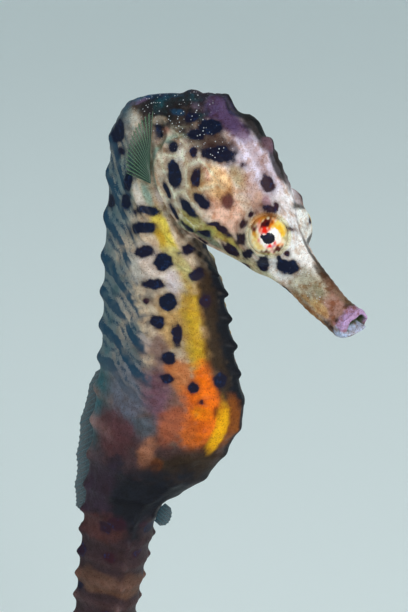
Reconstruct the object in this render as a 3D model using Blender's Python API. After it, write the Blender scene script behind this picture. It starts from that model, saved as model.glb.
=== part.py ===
"""Pot-bellied seahorse, life size, upright on a display stand.

The body is one long tube.  Each station of the tube has a point on the back, a
point on the belly, a half width and a squareness, all in millimetres from the
vent, and smooth curves join the stations from lips to tail tip.  Bony rings,
ridges and knobs are raised on that tube, and thin cuts part it into named
lengths.  The seahorse faces +X with its left side towards +Y, and the origin is
the middle of the underside of the base.
"""

import math

import bmesh
import bpy
import numpy as np

MM = 0.001

# Where the vent stands from the middle of the base's underside
VENT = (-5.0, 0.0, 82.5)

# Place names along the body: (back x, z), (belly x, z), half width, squareness
STATIONS = {
    "lips":        ((43.7, 38.8), (43.1, 36.9), 1.60, 2.0),
    "jaw angle":   ((42.3, 40.1), (39.8, 35.2), 2.30, 2.0),
    "snout tip":   ((40.6, 41.2), (37.4, 36.6), 2.25, 2.0),
    "mid snout":   ((38.6, 43.2), (34.5, 38.5), 2.30, 2.0),
    "snout root":  ((36.0, 45.9), (31.6, 41.0), 2.50, 2.1),
    "nostril":     ((33.6, 49.0), (28.2, 43.2), 3.20, 2.2),
    "eye":         ((31.8, 53.4), (24.2, 44.9), 4.30, 2.3),
    "brow":        ((29.9, 58.2), (20.8, 46.2), 5.00, 2.3),
    "forehead":    ((27.1, 63.5), (17.8, 47.2), 5.40, 2.3),
    "temple":      ((23.9, 67.4), (16.0, 47.8), 5.80, 2.2),
    "crown":       ((19.6, 69.6), (14.8, 48.3), 5.90, 2.1),
    "nape":        ((14.4, 71.0), (13.9, 48.3), 5.50, 2.0),
    "neck top":    ((8.2, 71.0), (13.8, 47.9), 5.10, 2.0),
    "neck bend":   ((1.6, 68.6), (14.4, 47.1), 5.00, 2.0),
    "neck back":   ((-0.7, 62.0), (15.4, 45.8), 5.20, 2.0),
    "shoulder":    ((-1.1, 54.6), (16.6, 43.9), 5.60, 2.0),
    "breast":      ((-1.7, 47.4), (18.1, 41.2), 6.00, 2.0),
    "upper trunk": ((-2.0, 40.6), (18.9, 36.9), 6.40, 2.0),
    "mid trunk":   ((-2.3, 33.8), (20.0, 31.6), 6.80, 2.0),
    "belly":       ((-2.8, 27.0), (21.2, 25.8), 7.20, 2.0),
    "pot":         ((-3.8, 20.4), (22.2, 19.9), 7.40, 2.0),
    "lower pot":   ((-4.6, 14.0), (19.9, 14.3), 7.00, 2.0),
    "hip":         ((-5.4, 7.4), (14.0, 6.9), 6.20, 2.1),
    "vent":        ((-6.2, 0.6), (5.8, -0.3), 5.10, 2.3),
}

# Places along the body are counted from the mouth's corners; the lips reach ahead of them
LIP_LEAD = 2.35

# The tail hangs, then rolls forward into a coil whose radius shrinks evenly
TAIL_LENGTH = 132.0
TAIL_HEADING = math.radians(-101.0)
TAIL_SWAY = 0.0035
SWAY_LENGTH = 30.0
COIL_START = 34.0
COIL_FULL = 58.0
COIL_OUTER = 15.5
COIL_INNER = 2.7
TAIL_DEPTH = (5.75, 0.75)
TAIL_WIDTH = (5.05, 0.70)
TAIL_TAPER = 0.88
TAIL_SQUARENESS = 2.6

# Bony rings: twelve on the trunk, forty-six on the tail
TRUNK_RINGS = 12
TRUNK_FIRST = 45.0
TAIL_RINGS = 46
TAIL_RING_FIRST = 4.2
RING_SLANT = 5.0
RING_HEIGHT = 0.32
RIDGE_HEIGHT = 0.28
KNOB_HEIGHT = 0.52
UPPER_RIDGE = (30.0, 45.0)
LOWER_RIDGE = 135.0
RIDGE_WIDTH = 8.0
KEEL_SHARE = 1.6

# The eyes stand out on low turrets and look forward and a little up
EYE = np.array((28.9, 4.2, 51.1))
EYE_RADIUS = 3.3
EYE_FORWARD = math.radians(28.0)
EYE_UP = math.radians(11.0)
RIM_RISE = 1.45
RIM_RADIUS = 3.2
TURRET_RADIUS = 5.2

# Head knobs: ring place, degrees from the back line, radius, height, both sides
HEAD_KNOBS = {
    "brow spine": (27.7, 0.0, 1.2, 1.2, False),
    "eye spine": (21.6, 47.0, 1.5, 1.3, True),
    "nape knob": (36.7, 0.0, 1.7, 0.9, False),
    "temple knob": (30.5, 62.0, 2.4, 0.5, True),
    "cheek knob": (32.0, 81.0, 0.9, 0.5, True),
    "shoulder knob": (46.4, 132.0, 1.2, 0.9, True),
    "chin knob": (17.0, 180.0, 2.0, 0.5, False),
}

GAP = 0.3
HEAD_STEP = 1.05
AROUND = 24
HEAD_AROUND = 30
TAIL_AROUND = 12


# ---------------------------------------------------------------- the body's curves

def natural_cubic(knots, values):
    """Return a smooth curve through the values, one row for each knot."""
    count = len(knots)
    step = np.diff(knots)
    matrix = np.eye(count)
    right = np.zeros_like(values)
    for i in range(1, count - 1):
        matrix[i, i - 1:i + 2] = step[i - 1], 2 * (step[i - 1] + step[i]), step[i]
        rise = (values[i + 1] - values[i]) / step[i]
        right[i] = 6 * (rise - (values[i] - values[i - 1]) / step[i - 1])
    bend = np.linalg.solve(matrix, right)

    def at(place):
        i = np.clip(np.searchsorted(knots, place) - 1, 0, count - 2)
        a = ((knots[i + 1] - place) / step[i])[:, None]
        b = 1.0 - a
        h = step[i][:, None] ** 2 / 6
        straight = a * values[i] + b * values[i + 1]
        return straight + ((a ** 3 - a) * bend[i] + (b ** 3 - b) * bend[i + 1]) * h

    return at


def smooth(low, high, x):
    """Ease from 0 at low to 1 at high."""
    t = np.clip((x - low) / (high - low), 0.0, 1.0)
    return t * t * (3.0 - 2.0 * t)


def tail_rows(start, count=60):
    """Stations of the tail, found by walking along its bending centre line."""
    s = np.linspace(0.0, TAIL_LENGTH, 2001)
    shrink = (COIL_OUTER - COIL_INNER) / (TAIL_LENGTH - COIL_START)
    bend = smooth(COIL_START, COIL_FULL, s) / (COIL_OUTER - shrink * (s - COIL_START))
    bend += TAIL_SWAY * np.sin(np.pi * np.clip(s / SWAY_LENGTH, 0.0, 1.0))
    turn = np.concatenate([[0.0], np.cumsum((bend[1:] + bend[:-1]) / 2 * np.diff(s))])
    way = np.stack([np.cos(TAIL_HEADING + turn), np.sin(TAIL_HEADING + turn)], 1)
    walk = np.cumsum((way[1:] + way[:-1]) / 2 * np.diff(s)[:, None], axis=0)
    middle = np.vstack([[0.0, 0.0], walk]) + start
    back = np.stack([way[:, 1], -way[:, 0]], 1)
    taper = (s / TAIL_LENGTH) ** TAIL_TAPER
    depth = TAIL_DEPTH[0] + (TAIL_DEPTH[1] - TAIL_DEPTH[0]) * taper
    width = TAIL_WIDTH[0] + (TAIL_WIDTH[1] - TAIL_WIDTH[0]) * taper
    square = np.full(len(s), TAIL_SQUARENESS)
    rows = np.column_stack([middle + back * depth[:, None], middle - back * depth[:, None],
                            width, square])
    pick = np.linspace(0, len(s) - 1, count).astype(int)
    return rows[pick][1:]


def body_curve():
    """Join head, trunk and tail stations into one curve; return it and its places."""
    rows = np.array([[*back, *belly, wide, square]
                     for back, belly, wide, square in STATIONS.values()])
    vent = (rows[-1, 0:2] + rows[-1, 2:4]) / 2
    rows = np.vstack([rows, tail_rows(vent)])
    back_step = np.linalg.norm(np.diff(rows[:, 0:2], axis=0), axis=1)
    belly_step = np.linalg.norm(np.diff(rows[:, 2:4], axis=0), axis=1)
    along = np.concatenate([[0.0], np.cumsum((back_step + belly_step) / 2)]) - LIP_LEAD
    return natural_cubic(along, rows), dict(zip(STATIONS, along)), along[-1]


BODY, PLACE, BODY_END = body_curve()
VENT_PLACE = PLACE["vent"]
TRUNK_PITCH = (VENT_PLACE - TRUNK_FIRST) / TRUNK_RINGS
TAIL_RING_LAST = 2 * (BODY_END - VENT_PLACE) / TAIL_RINGS - TAIL_RING_FIRST
TAIL_RING_LOSS = (TAIL_RING_FIRST - TAIL_RING_LAST) / (2 * TAIL_RINGS)


def ring_place(ring):
    """Place along the body of a ring line; negative numbers count trunk rings up."""
    ring = np.asarray(ring, float)
    trunk = VENT_PLACE + ring * TRUNK_PITCH
    tail = VENT_PLACE + TAIL_RING_FIRST * ring - TAIL_RING_LOSS * ring ** 2
    return np.where(ring < 0, trunk, tail)


def ring_number(place):
    """Ring line number at a place along the body, the other way about."""
    trunk = (place - VENT_PLACE) / TRUNK_PITCH
    rest = np.clip(TAIL_RING_FIRST ** 2 - 4 * TAIL_RING_LOSS * (place - VENT_PLACE), 0.0, None)
    tail = (TAIL_RING_FIRST - np.sqrt(rest)) / (2 * TAIL_RING_LOSS)
    return np.where(place < VENT_PLACE, trunk, tail)


def section(place, around):
    """Points and outward directions of the plain tube, before rings and knobs."""
    row = BODY(place.ravel())
    back, belly, wide, square = row[:, 0:2], row[:, 2:4], row[:, 4], row[:, 5]
    middle, half = (back + belly) / 2, (back - belly) / 2
    deep = np.linalg.norm(half, axis=1)
    c, s = np.cos(around.ravel()), np.sin(around.ravel())
    cz = np.sign(c) * np.abs(c) ** (2 / square)
    sy = np.sign(s) * np.abs(s) ** (2 / square)
    point = np.stack([middle[:, 0] + half[:, 0] * cz, wide * sy,
                      middle[:, 1] + half[:, 1] * cz], 1)
    lift = np.sign(c) * np.abs(c) ** (2 - 2 / square) / deep
    side = np.sign(s) * np.abs(s) ** (2 - 2 / square) / wide
    out = np.stack([half[:, 0] / deep * lift, side, half[:, 1] / deep * lift], 1)
    out /= np.linalg.norm(out, axis=1, keepdims=True)
    return point, out


def relief(place, around):
    """Height of rings, ridges and ring knobs above the plain tube."""
    ring = ring_number(place)
    crest = np.exp(-((ring - np.round(ring)) / 0.2) ** 2)
    turn = np.abs(np.degrees(np.arctan2(np.sin(around), np.cos(around))))
    on_tail = smooth(VENT_PLACE - 12.0, VENT_PLACE + 6.0, place)
    upper = UPPER_RIDGE[0] + (UPPER_RIDGE[1] - UPPER_RIDGE[0]) * on_tail
    keel = KEEL_SHARE * (1.0 - on_tail) * (1.0 - 0.75 * smooth(72.0, 82.0, place))
    ridge = np.zeros_like(place)
    for angle, share in ((upper, 1.0), (90.0, 1.0 - on_tail), (LOWER_RIDGE, 1.0), (180.0, keel)):
        ridge = np.maximum(ridge, share * np.exp(-((turn - angle) / RIDGE_WIDTH) ** 2))
    size = 1.0 - 0.85 * np.clip((place - VENT_PLACE) / (BODY_END - VENT_PLACE), 0, 1)
    below = np.clip(-np.cos(around), 0.0, 1.0)
    throat = below * (1.0 - smooth(TRUNK_FIRST + 2.0, TRUNK_FIRST + 14.0, place))
    fade = smooth(TRUNK_FIRST - 4.0, TRUNK_FIRST + 4.0, place) * (1.0 - throat) * size
    return fade * (RING_HEIGHT * crest + RIDGE_HEIGHT * ridge + KNOB_HEIGHT * crest * ridge)


def eye_way(side):
    """Direction in which the eye on that side looks."""
    flat = math.cos(EYE_UP)
    return np.array((flat * math.sin(EYE_FORWARD), side * flat * math.cos(EYE_FORWARD),
                     math.sin(EYE_UP)))


def raise_turret(point, side):
    """Draw the skin near one eye out to the flat rim that the eyeball stands in."""
    axis = eye_way(side)
    away = point - EYE * (1, side, 1)
    height = away @ axis
    radius = np.linalg.norm(away - height[:, None] * axis, axis=1)
    blend = smooth(TURRET_RADIUS, RIM_RADIUS, radius) * (height > -4.0)
    return point + ((RIM_RISE - height) * blend)[:, None] * axis


def raise_knob(point, ring, at, degrees, radius, height):
    """Push the skin out in a blunt knob round one place on the body."""
    place, turn = np.array([float(at)]), np.array([math.radians(degrees)])
    foot, axis = section(place, turn)
    away = point - foot[0]
    along = away @ axis[0]
    reach = np.linalg.norm(away - along[:, None] * axis[0], axis=1)
    near = (np.abs(along) < 4.0) & (np.abs(ring.ravel() - at) < 3 * radius)
    bump = height * np.exp(-(reach / radius) ** 3) * near
    return point + bump[:, None] * axis[0]


def skin(ring, around, lift=0.0):
    """Finished surface of the body at ring places and angles, raised by lift."""
    climb = ((1.0 + np.cos(around)) / 2) ** 1.5
    span = smooth(38.0, 58.0, ring) * (1.0 - smooth(88.0, 106.0, ring))
    place = np.clip(ring - RING_SLANT * span * climb, -LIP_LEAD, BODY_END)
    shape = place.shape
    point, out = section(place, around)
    point = point + out * (relief(ring, around).ravel() + lift)[:, None]
    for side in (1, -1):
        point = raise_turret(point, side)
    for at, degrees, radius, height, both in HEAD_KNOBS.values():
        point = raise_knob(point, ring, at, degrees, radius, height)
        if both:
            point = raise_knob(point, ring, at, -degrees, radius, height)
    return point.reshape(*shape, 3)


# ---------------------------------------------------------------- making objects

def colour(red, green, blue):
    """Turn a display colour of 0 to 255 into the renderer's linear colour."""
    line = [c / 255 / 12.92 if c < 11 else ((c / 255 + 0.055) / 1.055) ** 2.4
            for c in (red, green, blue)]
    return (*line, 1.0)


def make_object(name, points, faces, tint, roughness=0.5, metallic=0.0, place=VENT):
    """Make one closed, smooth-shaded mesh object from points in millimetres."""
    mesh = bpy.data.meshes.new(name)
    mesh.from_pydata((np.asarray(points, float) * MM).tolist(), [], faces)
    work = bmesh.new()
    work.from_mesh(mesh)
    bmesh.ops.recalc_face_normals(work, faces=work.faces)
    work.to_mesh(mesh)
    work.free()
    mesh.polygons.foreach_set("use_smooth", [True] * len(mesh.polygons))
    thing = bpy.data.objects.new(name, mesh)
    thing.location = [c * MM for c in place]
    bpy.context.collection.objects.link(thing)
    material = bpy.data.materials.new(name)
    material.use_nodes = True
    shader = material.node_tree.nodes["Principled BSDF"]
    shader.inputs["Base Color"].default_value = tint
    shader.inputs["Roughness"].default_value = roughness
    shader.inputs["Metallic"].default_value = metallic
    mesh.materials.append(material)
    return thing


def make_cutter(name, points, faces, place=VENT):
    """Make a hidden shape that other objects are cut with."""
    thing = make_object(name, points, faces, colour(200, 60, 60), place=place)
    thing.hide_render = True
    thing.display_type = "WIRE"
    return thing


def cut(thing, tool, operation="DIFFERENCE", folded=False):
    """Cut an object by a hidden shape, which may fold over itself."""
    step = thing.modifiers.new(operation.title() + " " + tool.name, "BOOLEAN")
    step.operation = operation
    step.object = tool
    step.solver = "EXACT"
    step.use_self = folded


def tube(rows):
    """Faces of a closed tube through rows of points, with a fan over each end."""
    count, around = rows.shape[:2]
    points = np.vstack([rows.reshape(-1, 3), rows[0].mean(axis=0), rows[-1].mean(axis=0)])
    faces = []
    for i in range(count - 1):
        for j in range(around):
            k = (j + 1) % around
            faces.append((i * around + j, i * around + k,
                          (i + 1) * around + k, (i + 1) * around + j))
    first, last = count * around, count * around + 1
    for j in range(around):
        k = (j + 1) % around
        faces.append((first, k, j))
        faces.append((last, (count - 1) * around + j, (count - 1) * around + k))
    return points, faces


def body_tube(stops, around, lift=0.0):
    """Tube of the body's own skin through the given ring places."""
    turn = np.arange(around) * 2 * math.pi / around
    ring, angle = np.meshgrid(np.asarray(stops, float), turn, indexing="ij")
    return tube(skin(ring, angle, lift))


def ring_stops(first, last, per_ring):
    """Ring places from one cut to the next, with a share of the gap at each end."""
    count = int(round((last - first) * per_ring)) + 1
    stops = ring_place(np.linspace(first, last, count))
    stops[0] += GAP / 2
    stops[-1] -= GAP / 2
    return stops


def lathe(profile, segments):
    """Solid of revolution about an upright axis from (radius, height) points."""
    turn = np.arange(segments) * 2 * math.pi / segments
    rows = [[(r * math.cos(a), r * math.sin(a), z) for a in turn] for r, z in profile]
    return tube(np.array(rows))


def ball(radius, segments=16, rings=10):
    """Sphere with its poles up and down."""
    angles = np.linspace(-math.pi / 2, math.pi / 2, rings + 1)[1:-1]
    profile = [(radius * math.cos(a), radius * math.sin(a)) for a in angles]
    points, faces = lathe(profile, segments)
    points[-2] = (0.0, 0.0, -radius)
    points[-1] = (0.0, 0.0, radius)
    return points, faces


# ---------------------------------------------------------------- head

SNOUT_END = 12.4
HEAD_END = 38.6
LIP_STOPS = (-LIP_LEAD, -1.8, -1.0, -0.1, 1.2, 2.6)
LIP_ROUND = ((0.55, 0.30), (0.85, 0.16))
MOUTH_CORNER = np.array((40.7, 37.6))
UPPER_LIP_LINE = np.array((4.0, 1.45))
JAW_TOP_LINE = np.array((4.0, -0.35))
JAW_REAR_LINE = np.array((-2.5, -3.6))
CORONET_PLACE = 34.5
CORONET_LEAN = math.radians(8.0)
CORONET_HEIGHT = 1.35
CORONET_PROFILE = ((2.7, -0.6), (2.7, 0.1), (2.3, 0.55), (2.0, 1.0), (1.7, CORONET_HEIGHT),
                   (1.1, CORONET_HEIGHT - 0.1), (0.6, CORONET_HEIGHT - 0.35))
CORONET_POINTS = 5
GILL_MIDDLE = (35.0, 100.0)
GILL_HALF = (7.4, 42.0)
GILL_SEGMENTS = 22
GILL_RIM = 0.85
GILL_BULGE = 0.35


def muzzle():
    """Snout tube closed over the lips by a rounded front."""
    turn = np.arange(AROUND) * 2 * math.pi / AROUND
    back = np.arange(4.2, SNOUT_END, 1.5)
    stops = np.concatenate([LIP_STOPS, back, [SNOUT_END - GAP / 2]])
    ring, angle = np.meshgrid(stops, turn, indexing="ij")
    rows = skin(ring, angle)
    centre = rows[0].mean(axis=0)
    ahead = centre - rows[2].mean(axis=0)
    ahead /= np.linalg.norm(ahead)
    front = [centre + (rows[0] - centre) * share + ahead * step for share, step in LIP_ROUND]
    return tube(np.concatenate([front, rows]))


def prism(outline, half=5.0):
    """Block with an outline in the middle plane, reaching half to each side."""
    count = len(outline)
    points = [(x, side * half, z) for side in (-1, 1) for x, z in outline]
    faces = [tuple(range(count)), tuple(range(count, 2 * count))]
    faces += [(i, (i + 1) % count, count + (i + 1) % count, count + i) for i in range(count)]
    return points, faces


def make_snout():
    """Snout with its gaping mouth, and the lower jaw as a part of its own."""
    points, faces = muzzle()
    corner, upper, lower = MOUTH_CORNER, UPPER_LIP_LINE, JAW_TOP_LINE
    gape = make_cutter("cutter_mouth", *prism([corner, corner + upper, corner + lower]))
    chin = corner + JAW_REAR_LINE
    front = corner + (upper + lower) / 2
    floor = np.array((front[0], chin[1]))
    clear = np.array((-GAP, GAP / 2))
    snout = make_object("snout", points, faces, colour(196, 172, 150), 0.45)
    cut(snout, gape)
    cut(snout, make_cutter("cutter_jaw_gap", *prism([corner + clear, front, floor, chin + clear])))
    jaw = make_object("lower_jaw", points, faces, colour(200, 172, 204), 0.42)
    cut(jaw, gape)
    cut(jaw, make_cutter("cutter_jaw", *prism([corner, front, floor, chin])), "INTERSECT")


def frame_at(ring, degrees=0.0):
    """Foot point, outward, tailward and sideways directions on the plain tube."""
    place, turn = np.array([float(ring)]), np.array([math.radians(degrees)])
    foot, out = section(place, turn)
    ahead, _ = section(place - 0.5, turn)
    behind, _ = section(place + 0.5, turn)
    way = behind[0] - ahead[0]
    way -= out[0] * (way @ out[0])
    way /= np.linalg.norm(way)
    return foot[0], out[0], way, np.cross(out[0], way)


def crown(profile, grow=0.0, segments=20):
    """Lathe leaning back a little on the crown of the head, pinched into blunt points."""
    foot, out, way, side = frame_at(CORONET_PLACE)
    lean, level = math.sin(CORONET_LEAN), math.cos(CORONET_LEAN)
    out, way = out * level + way * lean, way * level - out * lean
    turn = np.arange(segments) * 2 * math.pi / segments
    rows = []
    for radius, height in profile:
        pinch = 0.10 * smooth(0.2, CORONET_HEIGHT, np.float64(height))
        reach = (radius + grow) * (1 + pinch * np.cos(CORONET_POINTS * turn))
        rows.append(foot + out * height + np.outer(reach * np.cos(turn), way) * 1.08
                    + np.outer(reach * np.sin(turn), side))
    return tube(np.array(rows))


def make_head():
    """Head with sockets for the eyes and a seat for the coronet."""
    stops = np.linspace(SNOUT_END + GAP / 2, HEAD_END - GAP / 2,
                        int((HEAD_END - SNOUT_END) / HEAD_STEP) + 1)
    head = make_object("head", *body_tube(stops, HEAD_AROUND), colour(205, 178, 160), 0.5)
    for side, name in ((1, "left"), (-1, "right")):
        centre = EYE * (1, side, 1) + VENT
        make_object("eye_" + name, *ball(EYE_RADIUS), colour(235, 205, 120), 0.12, place=centre)
        cut(head, make_cutter("cutter_socket_" + name, *ball(EYE_RADIUS + GAP), place=centre))
    seat = ((2.7, -0.9), (2.7, 3.5))
    cut(head, make_cutter("cutter_crown_seat", *crown(seat, GAP)))
    make_object("coronet", *crown(CORONET_PROFILE), colour(110, 86, 122), 0.55)


def gill_plate(side):
    """Oval plate that follows the skin, a gap above it, thicker in the middle."""
    turn = np.arange(GILL_SEGMENTS) * 2 * math.pi / GILL_SEGMENTS
    share = np.array((0.1, 0.55, 0.85, 1.0))
    rows = []
    for under, reach in ((True, share), (False, share[::-1])):
        for r in reach:
            ring = GILL_MIDDLE[0] + GILL_HALF[0] * r * np.cos(turn)
            angle = side * np.radians(GILL_MIDDLE[1] + GILL_HALF[1] * r * np.sin(turn))
            lift = GAP if under else GILL_RIM + GILL_BULGE * (1 - r ** 2)
            rows.append(skin(ring[None], angle[None], lift)[0])
    return tube(np.array(rows))


def make_gill_covers():
    """Curved cover plate over the gills on each side of the head."""
    for side, name in ((1, "left"), (-1, "right")):
        make_object("gill_cover_" + name, *gill_plate(side), colour(196, 184, 150), 0.5)


# ---------------------------------------------------------------- trunk and tail

NECK_END = -10.5
TRUNK_CUTS = (NECK_END, -7.5, -3.5, 0.5)
TRUNK_NAMES = ("trunk_upper", "trunk_middle", "trunk_lower")
TRUNK_TINTS = ((190, 178, 140), (196, 140, 62), (86, 62, 58))
TAIL_CUTS = (0.5, 6.5, 12.5, 17.5, 22.5, 27.5, 32.5, 38.5, TAIL_RINGS)


def make_neck():
    """Neck length between the back of the head and the third trunk ring."""
    last = float(ring_place(NECK_END)) - GAP / 2
    stops = np.linspace(HEAD_END + GAP / 2, last, 11)
    neck = make_object("neck", *body_tube(stops, AROUND), colour(150, 142, 128), 0.55)
    throat = body_tube(np.linspace(26.0, HEAD_END + GAP / 2, 13), HEAD_AROUND, GAP)
    cut(neck, make_cutter("cutter_throat", *throat), folded=True)


def make_trunk():
    """Three lengths of trunk with their bony rings."""
    for name, tint, first, last in zip(TRUNK_NAMES, TRUNK_TINTS, TRUNK_CUTS, TRUNK_CUTS[1:]):
        stops = ring_stops(first, last, 4)
        make_object(name, *body_tube(stops, AROUND), colour(*tint), 0.5)


def make_tail():
    """Tail in eight lengths, so that the coil never closes inside one part."""
    for number, (first, last) in enumerate(zip(TAIL_CUTS, TAIL_CUTS[1:]), 1):
        stops = ring_stops(first, last, 2)
        fade = number / 10
        tint = colour(86 + 60 * fade, 66 + 50 * fade, 58 + 20 * fade)
        make_object("tail_" + str(number), *body_tube(stops, TAIL_AROUND), tint, 0.55)


# ---------------------------------------------------------------- fins

FIN_HALF = 0.27
DORSAL_SPAN = (84.0, 108.0)
DORSAL_HEIGHT = 4.4
DORSAL_RAYS = 27
ANAL_SPAN = (103.4, 106.6)
ANAL_HEIGHT = 2.6
ANAL_RAYS = 7
DORSAL_SEAT = 0.38
ANAL_SEAT = 0.75
PECTORAL_TOP = np.array((9.1, 5.85, 61.6))
PECTORAL_LOW = np.array((9.3, 5.85, 57.6))
PECTORAL_RAYS = 16
PECTORAL_ANGLES = (math.radians(82.0), math.radians(160.0))
PECTORAL_LENGTHS = (7.8, 4.4)
PECTORAL_FLARE = 0.12


def fin_plate(root, tip, across):
    """Thin closed plate between a root line and a tip line."""
    rows = []
    for low, high in zip(root, tip):
        middle = (low + high) / 2
        rows.append([low - across, middle - across, high - across,
                     high + across, middle + across, low + across])
    return tube(np.array(rows))


def sail(span, height, rays, degrees, sweep, seat):
    """Upright fin along the back or belly line, each ray leaning tailward."""
    root, tip = [], []
    for i in range(rays):
        t = i / (rays - 1)
        ring = span[0] + (span[1] - span[0]) * t
        low = skin(np.array([[ring]]), np.array([[math.radians(degrees)]]), seat)[0, 0]
        _, out, way, _ = frame_at(ring, degrees)
        reach = height * (math.sin(math.pi * (0.08 + 0.84 * t)) ** 0.5)
        root.append(low)
        tip.append(low + (out * math.cos(sweep) + way * math.sin(sweep)) * reach)
    return fin_plate(np.array(root), np.array(tip), np.array((0.0, FIN_HALF, 0.0)))


def make_fins():
    """Dorsal, anal and the pair of pectoral fins as thin plates."""
    tint = colour(70, 120, 124)
    dorsal = sail(DORSAL_SPAN, DORSAL_HEIGHT, DORSAL_RAYS, 0.0, 0.6, DORSAL_SEAT)
    make_object("dorsal_fin", *dorsal, tint, 0.4)
    anal = sail(ANAL_SPAN, ANAL_HEIGHT, ANAL_RAYS, 180.0, 0.5, ANAL_SEAT)
    make_object("anal_fin", *anal, tint, 0.4)
    for side, name in ((1, "left"), (-1, "right")):
        root, tip = [], []
        for i in range(PECTORAL_RAYS):
            t = i / (PECTORAL_RAYS - 1)
            foot = PECTORAL_TOP + (PECTORAL_LOW - PECTORAL_TOP) * t
            angle = PECTORAL_ANGLES[0] + (PECTORAL_ANGLES[1] - PECTORAL_ANGLES[0]) * t
            reach = PECTORAL_LENGTHS[0] + (PECTORAL_LENGTHS[1] - PECTORAL_LENGTHS[0]) * t
            way = np.array((math.cos(angle), PECTORAL_FLARE, math.sin(angle)))
            root.append(foot * (1, side, 1))
            tip.append((foot + way * reach) * (1, side, 1))
        plate = fin_plate(np.array(root), np.array(tip), np.array((0.0, FIN_HALF, 0.0)))
        make_object("pectoral_fin_" + name, *plate, colour(120, 140, 104), 0.4)


# ---------------------------------------------------------------- stand

BASE_RADIUS = 34.0
BASE_HEIGHT = 8.0
BASE_PROFILE = ((BASE_RADIUS - 0.6, 0.0), (BASE_RADIUS, 0.6), (BASE_RADIUS, 5.2),
                (BASE_RADIUS - 0.7, 6.6), (BASE_RADIUS - 2.2, 7.4), (BASE_RADIUS - 2.6, BASE_HEIGHT))
ROD_RADIUS = 1.5
ROD_PLACES = {"front": 7.0, "back": -7.0}
ROD_FOOT = 4.0
ROD_TOP = 27.0


def make_stand():
    """Round wooden base and two short rods whose tops are hollowed to the coil."""
    base = make_object("stand_base", *lathe(BASE_PROFILE, 40), colour(66, 44, 30), 0.4,
                       place=(0.0, 0.0, 0.0))
    hull = body_tube(ring_stops(8.0, 32.5, 2), TAIL_AROUND, GAP)
    coil = make_cutter("cutter_coil", *hull)
    hole = ((ROD_RADIUS + GAP, 0.0), (ROD_RADIUS + GAP, BASE_HEIGHT))
    rod = ((ROD_RADIUS, 0.0), (ROD_RADIUS, ROD_TOP - ROD_FOOT))
    for name, x in ROD_PLACES.items():
        cut(base, make_cutter("cutter_hole_" + name, *lathe(hole, 24),
                              place=(x, 0.0, ROD_FOOT - GAP)))
        pole = make_object("stand_rod_" + name, *lathe(rod, 24), colour(176, 178, 182), 0.3, 1.0,
                           place=(x, 0.0, ROD_FOOT))
        cut(pole, coil)


def main():
    """Clear the scene and build every part."""
    for thing in list(bpy.data.objects):
        bpy.data.objects.remove(thing, do_unlink=True)
    make_snout()
    make_head()
    make_gill_covers()
    make_neck()
    make_trunk()
    make_tail()
    make_fins()
    make_stand()


main()
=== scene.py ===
# %% [markdown]
# # Pot-bellied seahorse on a display stand
# This notebook dresses a life-size model of a pot-bellied seahorse.  The solids under it
# are exact but plain, so this file gives the animal one seamless skin with its bony rings,
# knobs and painted spots, and adds glass eyes, rayed fins, a walnut base and steel rods.
# Lengths are worked out in millimetres from the vent and turned into metres at the end.

# %% Load the frame
import math

import bpy
import numpy as np
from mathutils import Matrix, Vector


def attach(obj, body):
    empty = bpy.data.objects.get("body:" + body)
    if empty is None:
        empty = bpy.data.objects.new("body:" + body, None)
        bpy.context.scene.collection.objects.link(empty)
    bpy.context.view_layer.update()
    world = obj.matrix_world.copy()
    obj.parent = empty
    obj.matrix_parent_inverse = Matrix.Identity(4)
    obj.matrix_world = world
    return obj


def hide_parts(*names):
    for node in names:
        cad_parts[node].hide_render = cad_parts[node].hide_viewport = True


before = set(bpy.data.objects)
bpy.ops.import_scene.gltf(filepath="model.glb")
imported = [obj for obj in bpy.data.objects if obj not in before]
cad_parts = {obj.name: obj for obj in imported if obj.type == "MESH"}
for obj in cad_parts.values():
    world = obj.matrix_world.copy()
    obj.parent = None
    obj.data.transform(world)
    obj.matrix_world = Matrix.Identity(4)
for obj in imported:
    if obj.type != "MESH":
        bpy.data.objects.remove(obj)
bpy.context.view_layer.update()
MM = 0.001
VENT = np.array((-5.0, 0.0, 82.5))

# %% [markdown]
# ## The body as one tube
# A seahorse is a tube from lips to tail tip.  Each station of the tube has a point on the
# back, a point on the belly, a half width and a squareness, where 2 is an oval and more is
# squarer.  A sculptor would set wire rings on an armature in the same way.

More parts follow.
